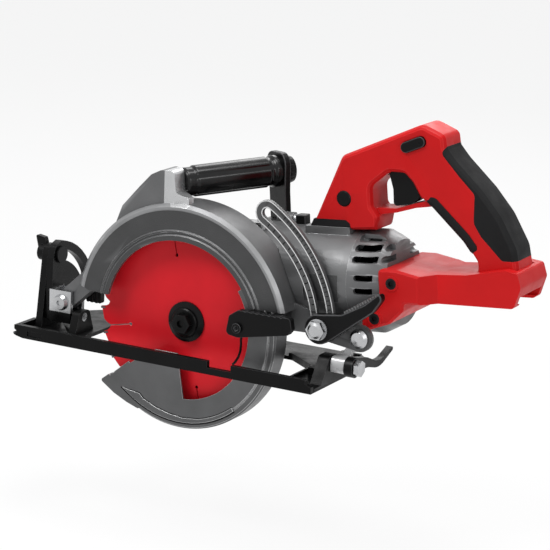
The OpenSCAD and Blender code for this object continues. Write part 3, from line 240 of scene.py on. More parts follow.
def soft_rubber(name, colour):
    """Matt rubber"""
    w = Wiring(name)
    w.colour(w.blend(w.spread(w.noise(18, 3), 0, 1), shade(colour, 0.8), shade(colour, 1.3)))
    w.rough(w.spread(w.noise(70, 5), 0.52, 0.72))
    w.bump((w.noise(1500, 3), 0.5, 0.00012))
    w.set(Specular_IOR_Level=0.14)
    return w.material


def plated_metal(name, colour, rough=0.24):
    """Bright plating with a cloudy shine"""
    w = Wiring(name)
    cloud = w.noise(35, 4)
    w.colour(w.blend(w.spread(cloud, 0, 1), shade(colour, 0.8), shade(colour, 1.1)))
    w.rough(w.spread(w.noise(120, 5), rough - 0.07, rough + 0.14))
    w.bump((w.noise(700, 3), 0.18, 0.0001))
    w.set(Metallic=1.0)
    return w.material


def coated_metal(name, colour, rough=0.34):
    """Dark coating, lighter along its sharp edges: wear and a painted highlight"""
    w = Wiring(name)
    base = w.blend(w.spread(w.noise(25, 3), 0, 1), shade(colour, 0.75), shade(colour, 1.4))
    # Sharp edges lightened: partly wear, partly a painted highlight
    w.colour(w.blend(w.edges(0.58, 0.7), base, (0.03, 0.03, 0.031)))
    w.rough(w.spread(w.noise(90, 5), rough - 0.08, rough + 0.14))
    w.bump((w.noise(1200, 3), 0.35, 0.00015))
    w.set(Specular_IOR_Level=0.12)
    return w.material


def machined_steel(name, colour, rough=0.3):
    """Bare metal with fine tool marks"""
    w = Wiring(name)
    w.colour(w.blend(w.spread(w.noise(40, 4), 0, 1), shade(colour, 0.75), shade(colour, 1.1)))
    w.rough(w.spread(w.noise(300, 3, 0.6, (1, 12, 1)), rough - 0.06, rough + 0.12))
    w.bump((w.noise(500, 3, 0.6, (1, 14, 1)), 0.12, 0.0001))
    w.set(Metallic=1.0)
    return w.material


def blade_coat(name, colour):
    """Glossy coating with faint turning marks round the arbor"""
    w = Wiring(name)
    mapping = w.add("ShaderNodeMapping")
    mapping.inputs["Location"].default_value = (0, 0, -ARBOR_HEIGHT)
    w.join(w.place, mapping.inputs["Vector"])
    radius = w.add("ShaderNodeVectorMath", operation="LENGTH")
    w.join(mapping.outputs["Vector"], radius.inputs[0])
    rings = w.add("ShaderNodeTexNoise", noise_dimensions="1D")
    rings.inputs["Scale"].default_value = 900
    rings.inputs["Detail"].default_value = 3
    w.join(radius.outputs["Value"], rings.inputs["W"])
    cloud = w.noise(16, 3)
    w.colour(w.blend(w.spread(cloud, 0, 1), shade(colour, 0.88), shade(colour, 1.08)))
    w.rough(w.spread(rings.outputs["Fac"], 0.28, 0.42))
    w.bump((rings.outputs["Fac"], 0.1, 0.00006))
    w.set(Specular_IOR_Level=0.12, Coat_Weight=0.03, Coat_Roughness=0.25)
    return w.material


FINISHES = {}


def finish(name):
    """The saw's finishes, each made once"""
    if name not in FINISHES:
        c = colours()
        grey, red, black = tuple(c.cast_grey), tuple(c.red_shell), tuple(c.soft_black)
        makers = {
            "cast": lambda: cast_paint("cast grey paint", grey),
            "dark_cast": lambda: cast_paint("dark cast panel", shade(grey, 0.42), 0.5, 0.3, 0.8),
            "arm": lambda: cast_paint("depth arm face", shade(grey, 0.28), 0.45, 0.2, 0.3),
            # Silver of the rear bracket, and a painted highlight on the depth arm's edges and border lines
            "plate_and_highlight": lambda: cast_paint("plate and painted highlight", (0.5, 0.502, 0.506), 0.3, 0.3, 0.2),
            # Black and red finishes for rounded edges, lighter than the pieces as a painted highlight
            "black_edge_highlight": lambda: coated_metal("black edge, painted highlight", (0.055, 0.055, 0.057), 0.3),
            "red_edge_highlight": lambda: moulded_plastic("red shell edge, painted highlight", shade(red, 1.15), 0.3, 0.05),
            "gloss_black": lambda: moulded_plastic("polished black", black, 0.2, 0.06),
            # Ribs of the black lever made grey, a painted highlight
            "rib_highlight": lambda: moulded_plastic("ribs, painted highlight", (0.13, 0.13, 0.132), 0.35, 0.2),
            # Cast grey doubled for the guard's outer rim ring, a painted highlight
            "rim_highlight_cast": lambda: cast_paint("cast rim, painted highlight", shade(grey, 2.0), 0.36, 0.6, 0.2),
            # Light cast finish for rounded edges, a painted highlight
            "cast_edge_highlight": lambda: cast_paint("cast edge, painted highlight", (0.46, 0.462, 0.466), 0.3, 0.7, 0.2),
            "bare_cast": lambda: cast_paint("bare cast metal", (0.5, 0.505, 0.51), 0.3, 0.8, 0.3),
            "guard": lambda: cast_paint("blasted guard", tuple(c.guard_grey), 0.4, 0.7, 0.3),
            "red": lambda: moulded_plastic("red moulded shell", red, 0.38, 0.08, gloss=0.1),
            "black": lambda: moulded_plastic("black moulding", black, 0.33, 0.35, gloss=0.12),
            # Black print on the depth arm and its scale, and painted shadow lines beside the guard's crescent
            "ink_and_shadow": lambda: moulded_plastic("scale ink and painted shadow", (0.006, 0.006, 0.0065), 0.5, 0.2, gloss=0.1),
            "rubber": lambda: soft_rubber("soft grip rubber", tuple(c.rubber_black)),
            "foot": lambda: coated_metal("coated foot", tuple(c.foot_black)),
            "black_metal": lambda: coated_metal("black bracket paint", black, 0.26),
            "zinc": lambda: plated_metal("bright zinc", tuple(c.bright_zinc)),
            "steel": lambda: machined_steel("machined steel", (0.45, 0.46, 0.47)),
            "carbide": lambda: machined_steel("carbide tips", (0.14, 0.14, 0.145), 0.4),
            "blade": lambda: blade_coat("red blade coat", tuple(c.blade_red)),
            "bronze": lambda: machined_steel("gear bronze", (0.55, 0.36, 0.15), 0.32),
            "board": lambda: moulded_plastic("circuit board", (0.02, 0.09, 0.035), 0.3, 0.2),
            "brass": lambda: machined_steel("contact brass", (0.6, 0.42, 0.16), 0.25),
        }
        FINISHES[name] = makers[name]()
    return FINISHES[name]


NODE_FINISH = {
    "cast": ["upper_guard", "gear_case", "vent_cap", "motor_housing", "case_cover"],
    "guard": ["lower_guard"],
    "blade": ["blade"],
    "steel": ["guard_retainer", "motor_bearings", "arbor_bearings", "arbor_shaft", "inner_flange", "rotor_shaft",
              "rotor_core", "guard_spring", "trigger_pin", "case_screws", "stator"],
    "bronze": ["worm_wheel"],
    "arm": ["depth_arm"],
    "zinc": ["depth_bolt", "pivot_bolt", "arm_rivet", "bevel_pins", "front_bracket", "rear_bracket", "oil_plug"],
    "black_metal": ["bevel_quadrant", "bevel_stud", "handle_bracket", "handle_screws", "outer_flange", "blade_bolt",
                    "lever_screw"],
    "foot": ["foot"],
    "gloss_black": ["front_handle"],
    "black": ["handle_end_cap", "handle_caps", "guard_lever", "depth_lever", "wing_lever",
              "bevel_lever", "trigger", "lock_button", "spindle_lock", "dust_chute", "cooling_fan", "switch_block"],
    "red": ["handle_left", "handle_right", "battery_base"],
    "rubber": ["rubber_grip", "handle_gasket"],
    "board": ["control_board"],
    "brass": ["battery_contacts"],
}
# Finish of the rounded edges on pieces of each finish, lighter than the piece as a painted highlight
EDGE_OF = {
    "cast": "cast_edge_highlight", "guard": "cast_edge_highlight", "arm": "plate_and_highlight", "black": "black_edge_highlight",
    "black_metal": "black_edge_highlight", "foot": "black_edge_highlight", "red": "red_edge_highlight",
}
BODY_OF = {node: body for body, nodes in frame["record"]["behaviour"]["bodies"].items() for node in nodes}


def new_object(name, mesh):
    thing = bpy.data.objects.new(name, mesh)
    bpy.context.scene.collection.objects.link(thing)
    return thing


def seat(thing, body, material):
    """Gives a finished piece its material, if it has none yet, and makes it move with its body"""
    if not thing.data.materials:
        thing.data.materials.append(material)
    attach(thing, body)


def merged_copy(name, node):
    """A mesh from the solid of one node, with its loose triangles joined"""
    work = bmesh.new()
    work.from_mesh(frame["nodes"][node].data)
    bmesh.ops.remove_doubles(work, verts=work.verts, dist=0.00002)
    mesh = bpy.data.meshes.new(name)
    work.to_mesh(mesh)
    work.free()
    return mesh


def flatten(mesh, angle=math.radians(1)):
    """Joins triangles that lie in one plane"""
    work = bmesh.new()
    work.from_mesh(mesh)
    bmesh.ops.dissolve_limit(work, angle_limit=angle, verts=work.verts, edges=work.edges)
    work.to_mesh(mesh)
    work.free()


def applied(thing):
    """Turns the modifiers of a piece into plain mesh"""
    graph = bpy.context.evaluated_depsgraph_get()
    mesh = bpy.data.meshes.new_from_object(thing.evaluated_get(graph))
    thing.modifiers.clear()
    thing.data = mesh
    return thing


def smooth(thing, angle=math.radians(35)):
    """Smooth shading, apart from edges sharper than an angle"""
    thing.data.shade_smooth()
    thing.data.set_sharp_from_angle(angle=angle)


def weigh_edges(mesh, limit, seam, fillets=True):
    """Marks the edges to round: fully where the solid turns, lightly along a seam

    Inner corners are rounded only with fillets.
    """
    work = bmesh.new()
    work.from_mesh(mesh)
    layer = work.edges.layers.float.new("bevel_weight_edge")
    for edge in work.edges:
        if edge.calc_face_angle(0) > limit and (fillets or edge.is_convex):
            on_seam = seam is not None and all(abs(v.co.y - seam) < 0.00002 for v in edge.verts)
            edge[layer] = 0.25 if on_seam else 1
    work.to_mesh(mesh)
    work.free()


def rounded_copy(name, node, width, kind, segments=2, limit=math.radians(32), seam=None, cut=None):
    """The solid of one node with its edges rounded, and cut along a plane where its finish changes"""
    mesh = merged_copy(name, node)
    flatten(mesh)
    if cut:
        part_along(mesh, *cut)
    weigh_edges(mesh, limit, seam, kind != "foot")
    return round_edges(new_object(name, mesh), width, kind, segments)


def round_edges(thing, width, kind, segments=2):
    """Rounds the marked edges of a piece, with a lighter finish on them as a painted highlight"""
    for key in (kind, EDGE_OF.get(kind, kind)):
        thing.data.materials.append(finish(key))
    smooth(thing)
    bevel = thing.modifiers.new("round", "BEVEL")
    bevel.width = width
    bevel.segments = segments
    bevel.limit_method = "WEIGHT"
    bevel.use_clamp_overlap = True
    bevel.miter_outer = "MITER_ARC"
    bevel.harden_normals = True
    bevel.material = 1
    return applied(thing)


def part_along(mesh, point, normal, lowest):
    """Adds edges where a plane meets the faces above a height, so that the two sides can differ in finish"""
    work = bmesh.new()
    work.from_mesh(mesh)
    faces = [f for f in work.faces if max(v.co.z for v in f.verts) > lowest]
    geometry = set(faces)
    for face in faces:
        geometry.update(face.edges)
        geometry.update(face.verts)
    bmesh.ops.bisect_plane(work, geom=list(geometry), dist=1e-6, plane_co=point, plane_no=normal)
    work.to_mesh(mesh)
    work.free()


def paint(thing, material, test):
    """Gives a second finish to the faces whose corners, in mm from the arbor, and normal pass a test"""
    thing.data.materials.append(material)
    slot = len(thing.data.materials) - 1
    points = [(v.co - Vector((0, 0, ARBOR_HEIGHT))) / MM for v in thing.data.vertices]
    for face in thing.data.polygons:
        if all(test(points[v], face.normal) for v in face.vertices):
            face.material_index = slot


def on_body(x, y, z):
    """A point of the tilted body, in mm behind, beside and above the arbor"""
    c, s = math.cos(BODY_TILT), math.sin(BODY_TILT)
    return Vector(((x * c - z * s) * MM, y * MM, (x * s + z * c) * MM + ARBOR_HEIGHT))


def polar(radius, degrees, y):
    """A point round the arbor, in metres"""
    a = math.radians(degrees)
    return Vector((radius * math.cos(a) * MM, y * MM, radius * math.sin(a) * MM + ARBOR_HEIGHT))


def mesh_from(name, points, faces):
    """A closed mesh with its faces turned outward"""
    mesh = bpy.data.meshes.new(name)
    mesh.from_pydata([tuple(p) for p in points], [], faces)
    work = bmesh.new()
    work.from_mesh(mesh)
    bmesh.ops.remove_doubles(work, verts=work.verts, dist=1e-6)
    bmesh.ops.recalc_face_normals(work, faces=work.faces)
    work.to_mesh(mesh)
    work.free()
    return mesh


def beaded(name, points, radius):
    """A round bead along a path"""
    curve = bpy.data.curves.new(name, "CURVE")
    curve.dimensions = "3D"
    curve.bevel_depth = radius
    curve.bevel_resolution = 3
    curve.use_fill_caps = True
    line = curve.splines.new("POLY")
    line.points.add(len(points) - 1)
    for point, place in zip(line.points, points):
        point.co = (*place, 1)
    thing = new_object(name, curve)
    graph = bpy.context.evaluated_depsgraph_get()
    mesh = bpy.data.meshes.new_from_object(thing.evaluated_get(graph))
    bpy.data.objects.remove(thing)
    bpy.data.curves.remove(curve)
    bead = new_object(name, mesh)
    smooth(bead)
    return bead


def repeated(name, places, turns, size, material):
    """A tapered block at each place, turned by its Euler angles, made with Geometry Nodes"""
    tree = bpy.data.node_groups.new(name, "GeometryNodeTree")
    tree.is_modifier = True
    tree.interface.new_socket("Places", in_out="INPUT", socket_type="NodeSocketGeometry")
    keys = {}
    for label, value in size.items():
        socket = tree.interface.new_socket(label, in_out="INPUT", socket_type="NodeSocketFloat")
        socket.default_value = value
        keys[label] = socket.identifier
    tree.interface.new_socket("Blocks", in_out="OUTPUT", socket_type="NodeSocketGeometry")
    nodes, join = tree.nodes, tree.links.new
    source = nodes.new("NodeGroupInput")
    sheet = nodes.new("GeometryNodeCurvePrimitiveQuadrilateral")
    sheet.mode = "TRAPEZOID"
    sheet.inputs["Offset"].default_value = 0
    join(source.outputs["Length"], sheet.inputs["Height"])
    join(source.outputs["Width"], sheet.inputs["Bottom Width"])
    join(source.outputs["Narrow end"], sheet.inputs["Top Width"])
    fill = nodes.new("GeometryNodeFillCurve")
    join(sheet.outputs["Curve"], fill.inputs["Curve"])
    push = nodes.new("GeometryNodeExtrudeMesh")
    join(fill.outputs["Mesh"], push.inputs["Mesh"])
    join(source.outputs["Thickness"], push.inputs["Offset Scale"])
    flip = nodes.new("GeometryNodeFlipFaces")
    join(fill.outputs["Mesh"], flip.inputs["Mesh"])
    both = nodes.new("GeometryNodeJoinGeometry")
    join(push.outputs["Mesh"], both.inputs["Geometry"])
    join(flip.outputs["Mesh"], both.inputs["Geometry"])
    merge = nodes.new("GeometryNodeMergeByDistance")
    merge.inputs["Distance"].default_value = 0.000001
    join(both.outputs["Geometry"], merge.inputs["Geometry"])
    turn = nodes.new("GeometryNodeInputNamedAttribute")
    turn.data_type = "FLOAT_VECTOR"
    turn.inputs["Name"].default_value = "turn"
    spread = nodes.new("GeometryNodeInstanceOnPoints")
    join(source.outputs["Places"], spread.inputs["Points"])
    join(merge.outputs["Geometry"], spread.inputs["Instance"])
    join(turn.outputs["Attribute"], spread.inputs["Rotation"])
    real = nodes.new("GeometryNodeRealizeInstances")
    join(spread.outputs["Instances"], real.inputs["Geometry"])
    paint_all = nodes.new("GeometryNodeSetMaterial")
    paint_all.inputs["Material"].default_value = material
    join(real.outputs["Geometry"], paint_all.inputs["Geometry"])
    target = nodes.new("NodeGroupOutput")
    join(paint_all.outputs["Geometry"], target.inputs["Blocks"])
    points = bpy.data.meshes.new(name)
    points.from_pydata([tuple(p) for p in places], [], [])
    layer = points.attributes.new("turn", "FLOAT_VECTOR", "POINT")
    for item, value in zip(layer.data, turns):
        item.vector = value
    thing = new_object(name, points)
    modifier = thing.modifiers.new(name, "NODES")
    modifier.node_group = tree
    for label, value in size.items():
        modifier[keys[label]] = value
    return applied(thing)


class SAW_OT_solids(bpy.types.Operator):
    """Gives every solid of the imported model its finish"""

    bl_idname = "saw.solids"
    bl_label = "Finish the solids"

    def execute(self, context):
        for name, nodes in NODE_FINISH.items():
            for node in nodes:
                mesh = frame["nodes"][node].data
                mesh.materials.clear()
                mesh.materials.append(finish(name))
        return {"FINISHED"}


class SAW_OT_stage(bpy.types.Operator):
    """Pale floor, soft studio lights and the camera"""

    bl_idname = "saw.stage"
    bl_label = "Stage"

    def execute(self, context):
        scene = context.scene
        work = bmesh.new()
        bmesh.ops.create_grid(work, x_segments=1, y_segments=1, size=FLOOR_HALF)
        mesh = bpy.data.meshes.new("floor")
        work.to_mesh(mesh)
        work.free()
        mesh.transform(Matrix.Translation((0, 0, FLOOR_HEIGHT)))
        floor = new_object("floor", mesh)
        floor.data.materials.append(self.floor_material())
        world = bpy.data.worlds.new("studio")
        scene.world = world
        world.use_nodes = True
        self.paint_world(world.node_tree)
        aim = Vector((0.05, 0.03, 0.08))
        for name, place, power, size in (
            ("key", (-0.7, -1.2, 1.8), 26, 0.8),
            ("fill", (1.6, -1.3, 0.8), 6, 1.0),
            ("top", (0.25, 0.1, 2.0), 26, 1.0),
            ("rim", (-0.4, 1.6, 1.2), 10, 0.9),
            ("strip", (1.5, -0.5, 0.9), 3, 0.25),
        ):
            lamp = bpy.data.lights.new(name, "AREA")
            lamp.energy = power
            lamp.size = size
            thing = bpy.data.objects.new(name, lamp)
            thing.location = place
            thing.rotation_euler = (aim - Vector(place)).to_track_quat("-Z", "Y").to_euler()
            scene.collection.objects.link(thing)
        self.aim_camera(scene)
        scene.view_settings.view_transform = "Standard"
        return {"FINISHED"}

    def floor_material(self):
        """Nearly white to the camera, and still dark enough to take the shadow"""
        material = bpy.data.materials.new("pale floor")
        material.use_nodes = True
        tree = material.node_tree
        shader = tree.nodes["Principled BSDF"]
        shader.inputs["Base Color"].default_value = (0.86, 0.86, 0.86, 1)
        shader.inputs["Roughness"].default_value = 0.8
        glow = tree.nodes.new("ShaderNodeEmission")
        glow.inputs["Color"].default_value = (1, 1, 1, 1)
        glow.inputs["Strength"].default_value = 1
        mix = tree.nodes.new("ShaderNodeMixShader")
        tree.links.new(self.seen_rays(tree, 0.87), mix.inputs["Fac"])
        tree.links.new(shader.outputs["BSDF"], mix.inputs[1])
        tree.links.new(glow.outputs["Emission"], mix.inputs[2])
        tree.links.new(mix.outputs["Shader"], tree.nodes["Material Output"].inputs["Surface"])
        return material

    def seen_rays(self, tree, share):
        """The given share for rays that see the background directly, in gloss or through glass"""
        rays = tree.nodes.new("ShaderNodeLightPath")
        total = rays.outputs["Is Camera Ray"]
        for kind in ("Is Glossy Ray", "Is Transmission Ray"):
            add = tree.nodes.new("ShaderNodeMath")
            add.operation = "MAXIMUM"
            tree.links.new(total, add.inputs[0])
            tree.links.new(rays.outputs[kind], add.inputs[1])
            total = add.outputs["Value"]
        scale = tree.nodes.new("ShaderNodeMath")
        scale.operation = "MULTIPLY"
        scale.inputs[1].default_value = share
        tree.links.new(total, scale.inputs[0])
        return scale.outputs["Value"]

    def paint_world(self, tree):
        """White where it is seen, and a dim fill light elsewhere"""
        back = tree.nodes["Background"]
        back.inputs["Color"].default_value = (0.9, 0.92, 0.95, 1)
        back.inputs["Strength"].default_value = 0.25
        white = tree.nodes.new("ShaderNodeBackground")
        white.inputs["Color"].default_value = (1, 1, 1, 1)
        white.inputs["Strength"].default_value = 1
        mix = tree.nodes.new("ShaderNodeMixShader")
        tree.links.new(self.seen_rays(tree, 1), mix.inputs["Fac"])
        tree.links.new(back.outputs["Background"], mix.inputs[1])
        tree.links.new(white.outputs["Background"], mix.inputs[2])
        tree.links.new(mix.outputs["Shader"], tree.nodes["World Output"].inputs["Surface"])

    def aim_camera(self, scene):
        """Stands where the photograph was taken, aimed at the middle of its frame"""
        turn, rise, roll = math.radians(31.0), math.radians(15.2), math.radians(-1.5)
        distance, pixels_per_m, centre = 2.0, 1107.0, PHOTO_PIXELS / 2
        # Where the photograph shows the arbor, in pixels
        arbor_across, arbor_down = 187.2, 321.3
        focal = pixels_per_m * distance
        ct, st, cr, sr = math.cos(turn), math.sin(turn), math.cos(rise), math.sin(rise)
        right = Vector((ct, st, 0))
        up, back = Vector((-st * sr, ct * sr, cr)), Vector((st * cr, -ct * cr, sr))
        c, s = math.cos(roll), math.sin(roll)
        right, up = c * right - s * up, s * right + c * up
        place = Vector((0, 0, ARBOR_HEIGHT)) + distance * back
        across, down = (centre - arbor_across) / focal, (centre - arbor_down) / focal
        back = -(-back + right * across - up * down).normalized()
        right = up.cross(back).normalized()
        up = back.cross(right)
        lens = bpy.data.cameras.new("photo camera")
        lens.sensor_width = 36
        lens.lens = lens.sensor_width * focal / PHOTO_PIXELS
        lens.clip_end = 50
        camera = bpy.data.objects.new("photo camera", lens)
        camera.matrix_world = Matrix((
            (right.x, up.x, back.x, place.x), (right.y, up.y, back.y, place.y),
            (right.z, up.z, back.z, place.z), (0, 0, 0, 1)))
        scene.collection.objects.link(camera)
        scene.camera = camera


class SAW_OT_rear_handle(bpy.types.Operator):
    """Red shells of the rear handle and battery base, with their soft grip"""

    bl_idname = "saw.rear_handle"
    bl_label = "Rear handle"

    def execute(self, context):
        middle, turn = MIDDLE_Y * MM, math.radians(20)
        for name, node, width in (
            ("handle_shell_near", "handle_left", 1.6 * MM),
            ("handle_shell_far", "handle_right", 1.6 * MM),
            ("battery_base_shell", "battery_base", 1.3 * MM),
        ):
            shell = rounded_copy(name, node, width, "red", 3, turn, middle)
            seat(shell, "saw_body", finish("red"))
            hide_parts(node)
        grip = rounded_copy("soft_grip", "rubber_grip", 1.2 * MM, "rubber", 3, turn, middle)
        seat(grip, "saw_body", finish("rubber"))
        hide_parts("rubber_grip")
        return {"FINISHED"}


class SAW_OT_rounded(bpy.types.Operator):
    """Cast, pressed and moulded pieces with rounded edges"""

    bl_idname = "saw.rounded"
    bl_label = "Rounded pieces"

    def execute(self, context):
        edge = sizes().edge_round
        cuts = {
            "upper_guard": ((NECK_X * MM, 0, 0), (1, 0, 0), ARBOR_HEIGHT + NECK_Z * MM),
            "front_bracket": ((0, 0, ARBOR_HEIGHT + BRACKET_Z * MM), (0, 0, 1), 0),
        }
        for name, node, width, kind in (
            ("guard_casting", "upper_guard", edge, "cast"),
            ("gear_casing", "gear_case", edge, "cast"),
            ("motor_casing", "motor_housing", edge, "cast"),
            ("swing_guard", "lower_guard", 0.5 * edge, "guard"),
            ("lift_lever", "guard_lever", 1.2 * edge, "black"),
            ("lever_pin", "lever_screw", 0.6 * edge, "black_metal"),
            ("slotted_arm", "depth_arm", 1.5 * edge, "arm"),
            ("lock_lever", "depth_lever", 1.2 * edge, "black"),
            ("foot_plate", "foot", 0.7 * edge, "foot"),
            ("tilt_bracket", "front_bracket", 0.9 * edge, "zinc"),
            ("quadrant", "bevel_quadrant", 1.4 * edge, "black_metal"),
            ("rear_tilt_bracket", "rear_bracket", 1.2 * edge, "plate_and_highlight"),
            ("bevel_wing", "wing_lever", edge, "black"),
            ("bevel_arm", "bevel_lever", 1.4 * edge, "black"),
            ("trigger_blade", "trigger", 1.5 * edge, "black"),
            ("lock_off", "lock_button", 0.8 * edge, "black"),
            ("barrel_bracket", "handle_bracket", 1.2 * edge, "black_metal"),
            ("barrel_cap", "handle_end_cap", 0.8 * edge, "black"),
            ("chute", "dust_chute", 0.8 * edge, "black"),
            ("spindle_button", "spindle_lock", edge, "black"),
        ):
            piece = rounded_copy(name, node, width, kind, cut=cuts.get(node))
            seat(piece, BODY_OF[node], finish(kind))
            for colour, test in self.second_finish(node):
                paint(piece, finish(colour), test)
            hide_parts(node)
        return {"FINISHED"}

    def second_finish(self, node):
        """Places on a piece with a finish of their own, as tests of a corner in mm and its face's normal"""
        def level(p, n, y):
            return n.y < -0.9 and abs(p.y - y) < 0.25

        def ring(p, inner, outer):
            return inner < math.hypot(p.x, p.z) < outer

        if node == "upper_guard":
            window, panel, rim, outside = 70, 104.5, 103.5, 110.3
            return (
                # The outer rim ring is lightened as a painted highlight
                ("rim_highlight_cast", lambda p, n: p.y < -11.4 and ring(p, rim, outside)),
                ("dark_cast", lambda p, n: n.y < -0.97 and p.y < -11 and ring(p, window, panel)),
                ("bare_cast", lambda p, n: NECK_X - 0.1 < p.x < 8 and p.z > NECK_Z and p.y < 16),
            )
        if node == "front_bracket":
            return (("black_metal", lambda p, n: p.z < BRACKET_Z + 0.1),)
        if node == "motor_housing":
            return (("dark_cast", lambda p, n: level(p, n, 9.5)),)
        if node == "depth_arm":
            return (("ink_and_shadow", lambda p, n: level(p, n, 2.4)),)
        return ()


class SAW_OT_barrel_grip(bpy.types.Operator):
    """Front handle: a turned barrel with four long panels that stand proud between flutes"""

    bl_idname = "saw.barrel_grip"
    bl_label = "Barrel grip"

    def execute(self, context):
        steps, stations, length = 120, 128, 96
        points = []
        for i in range(stations + 1):
            u = length * i / stations
            for k in range(steps):
                a = 2 * math.pi * k / steps
                r = self.radius(u, a)
                points.append(self.place(u, r * math.cos(a), r * math.sin(a)))
        faces = [list(range(steps)), [stations * steps + k for k in range(steps)]]
        for i in range(stations):
            for k in range(steps):
                n = (k + 1) % steps
                faces.append((i * steps + k, i * steps + n, (i + 1) * steps + n, (i + 1) * steps + k))
        barrel = new_object("barrel_grip", mesh_from("barrel_grip", points, faces))
        smooth(barrel, math.radians(50))
        seat(barrel, BODY_OF["front_handle"], finish("gloss_black"))
        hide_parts("front_handle")
        return {"FINISHED"}

    def radius(self, u, a):
        """Radius of the barrel at a station and angle, in mm"""
        def soft(x):
            x = max(0.0, min(1.0, x))
            return x * x * (3 - 2 * x)

        panels, panel_half, panel_start, panel_end = (20, 110, 200, 290), 37, 9, 86
        rise = 0
        for middle in panels:
            off = abs((math.degrees(a) - middle + 180) % 360 - 180)
            along = soft((u - panel_start) / 2) * soft((panel_end - u) / 2)
            rise = max(rise, soft((panel_half - off) / 6) * along)
        flange = soft((u - panel_end - 2) / 3)
        nose = 1 - soft(u / 2)
        return 13 + 1.2 * rise + 1.9 * flange - 1.2 * nose

    def place(self, u, v, w):
        """A point along and across the barrel, which crosses the body at an angle"""
        x, y, z, turn = -4, 10, 125.3, math.radians(58)
        c, s = math.cos(turn), math.sin(turn)
        return on_body(x + u * c - v * s, y + u * s + v * c, z + w)


class SAW_OT_vented_cap(bpy.types.Operator):
    """Finned cap behind the motor, with its slots interrupted by a web"""

    bl_idname = "saw.vented_cap"
    bl_label = "Vented cap"

    def execute(self, context):
        start, taper, inside, end, radius, bore = 158, 176, 179, 192, 46, 42.5
        profile = [(inside, 0), (inside, bore), (start, bore), (start, radius), (taper, radius), (end, radius - 8),
                   (end, 0)]
        cap = new_object("vented_cap", self.turned("vented_cap", profile))
        points, faces = [], []
        # Height over the motor's axis, and both ends, of each slot
        for height, front, back in (
            (41.3, 161, 183.5), (34, 161, 184), (25.3, 161, 184), (10.3, 165, 182), (-1, 165, 182),
            (34, 186.2, 196), (25.3, 186.2, 196),
        ):
            for side in (-1, 1):
                self.slot(points, faces, height, front, back, side)
        cutter = new_object("slots", mesh_from("slots", points, faces))
        cut = cap.modifiers.new("slots", "BOOLEAN")
        cut.object = cutter
        cut.operation = "DIFFERENCE"
        cut.solver = "EXACT"
        applied(cap)
        bpy.data.objects.remove(cutter)
        flatten(cap.data)
        weigh_edges(cap.data, math.radians(32), None)
        cap.data.materials.clear()
        round_edges(cap, sizes().edge_round, "cast")
        seat(cap, BODY_OF["vent_cap"], finish("cast"))
        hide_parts("vent_cap")
        return {"FINISHED"}

    def turned(self, name, profile, steps=96):
        """A profile of stations and radii turned about the motor's axis"""
        angles = [2 * math.pi * k / steps for k in range(steps)]
        points = [
            on_body(x, MIDDLE_Y + r * math.cos(a), MOTOR_RISE + r * math.sin(a)) for a in angles for x, r in profile]
        n = len(profile)
        faces = []
        for k in range(steps):
            here, there = k * n, (k + 1) % steps * n
            for i in range(n - 1):
                corners = [here + i, here + i + 1, there + i + 1, there + i]
                if profile[i][1] == 0:
                    corners.pop(3)
                elif profile[i + 1][1] == 0:
                    corners.pop(2)
                faces.append(corners)
        return mesh_from(name, points, faces)

    def slot(self, points, faces, height, front, back, side, half=2.7):
        """Cutter for one slot, with a round front end"""
        outline = [(back, -half), (back, half)] + [
            (front + half - half * math.sin(a), half * math.cos(a)) for a in (math.pi * k / 8 for k in range(9))]
        first, n = len(points), len(outline)
        for y in (14, 60):
            points.extend(on_body(x, MIDDLE_Y + side * y, MOTOR_RISE + height + z) for x, z in outline)
        faces.append([first + i for i in range(n)])
        faces.append([first + n + i for i in range(n)])
        for i in range(n):
            k = (i + 1) % n
            faces.append((first + i, first + k, first + n + k, first + n + i))


class SAW_OT_carbide_tips(bpy.types.Operator):
    """Carbide tips on the leading faces of the teeth"""

    bl_idname = "saw.carbide_tips"
    bl_label = "Carbide tips"

    def execute(self, context):
        s = sizes()
        width, thick = 1.9 * MM, 2.4 * MM
        places, turns = [], []
        for k in range(s.tooth_count):
            a = 2 * math.pi * k / s.tooth_count + 0.5 * width / s.blade_radius
            r = s.blade_radius - 0.5 * s.tip_length + 0.2 * MM
            places.append((r * math.cos(a), 0.5 * thick, r * math.sin(a) + ARBOR_HEIGHT))
            turns.append((math.pi / 2, math.pi / 2 - a, 0))
        tips = repeated("carbide_tips", places, turns, {
            "Length": s.tip_length, "Width": 0.8 * width, "Narrow end": width, "Thickness": thick}, finish("carbide"))
        seat(tips, "arbor", finish("carbide"))
        return {"FINISHED"}


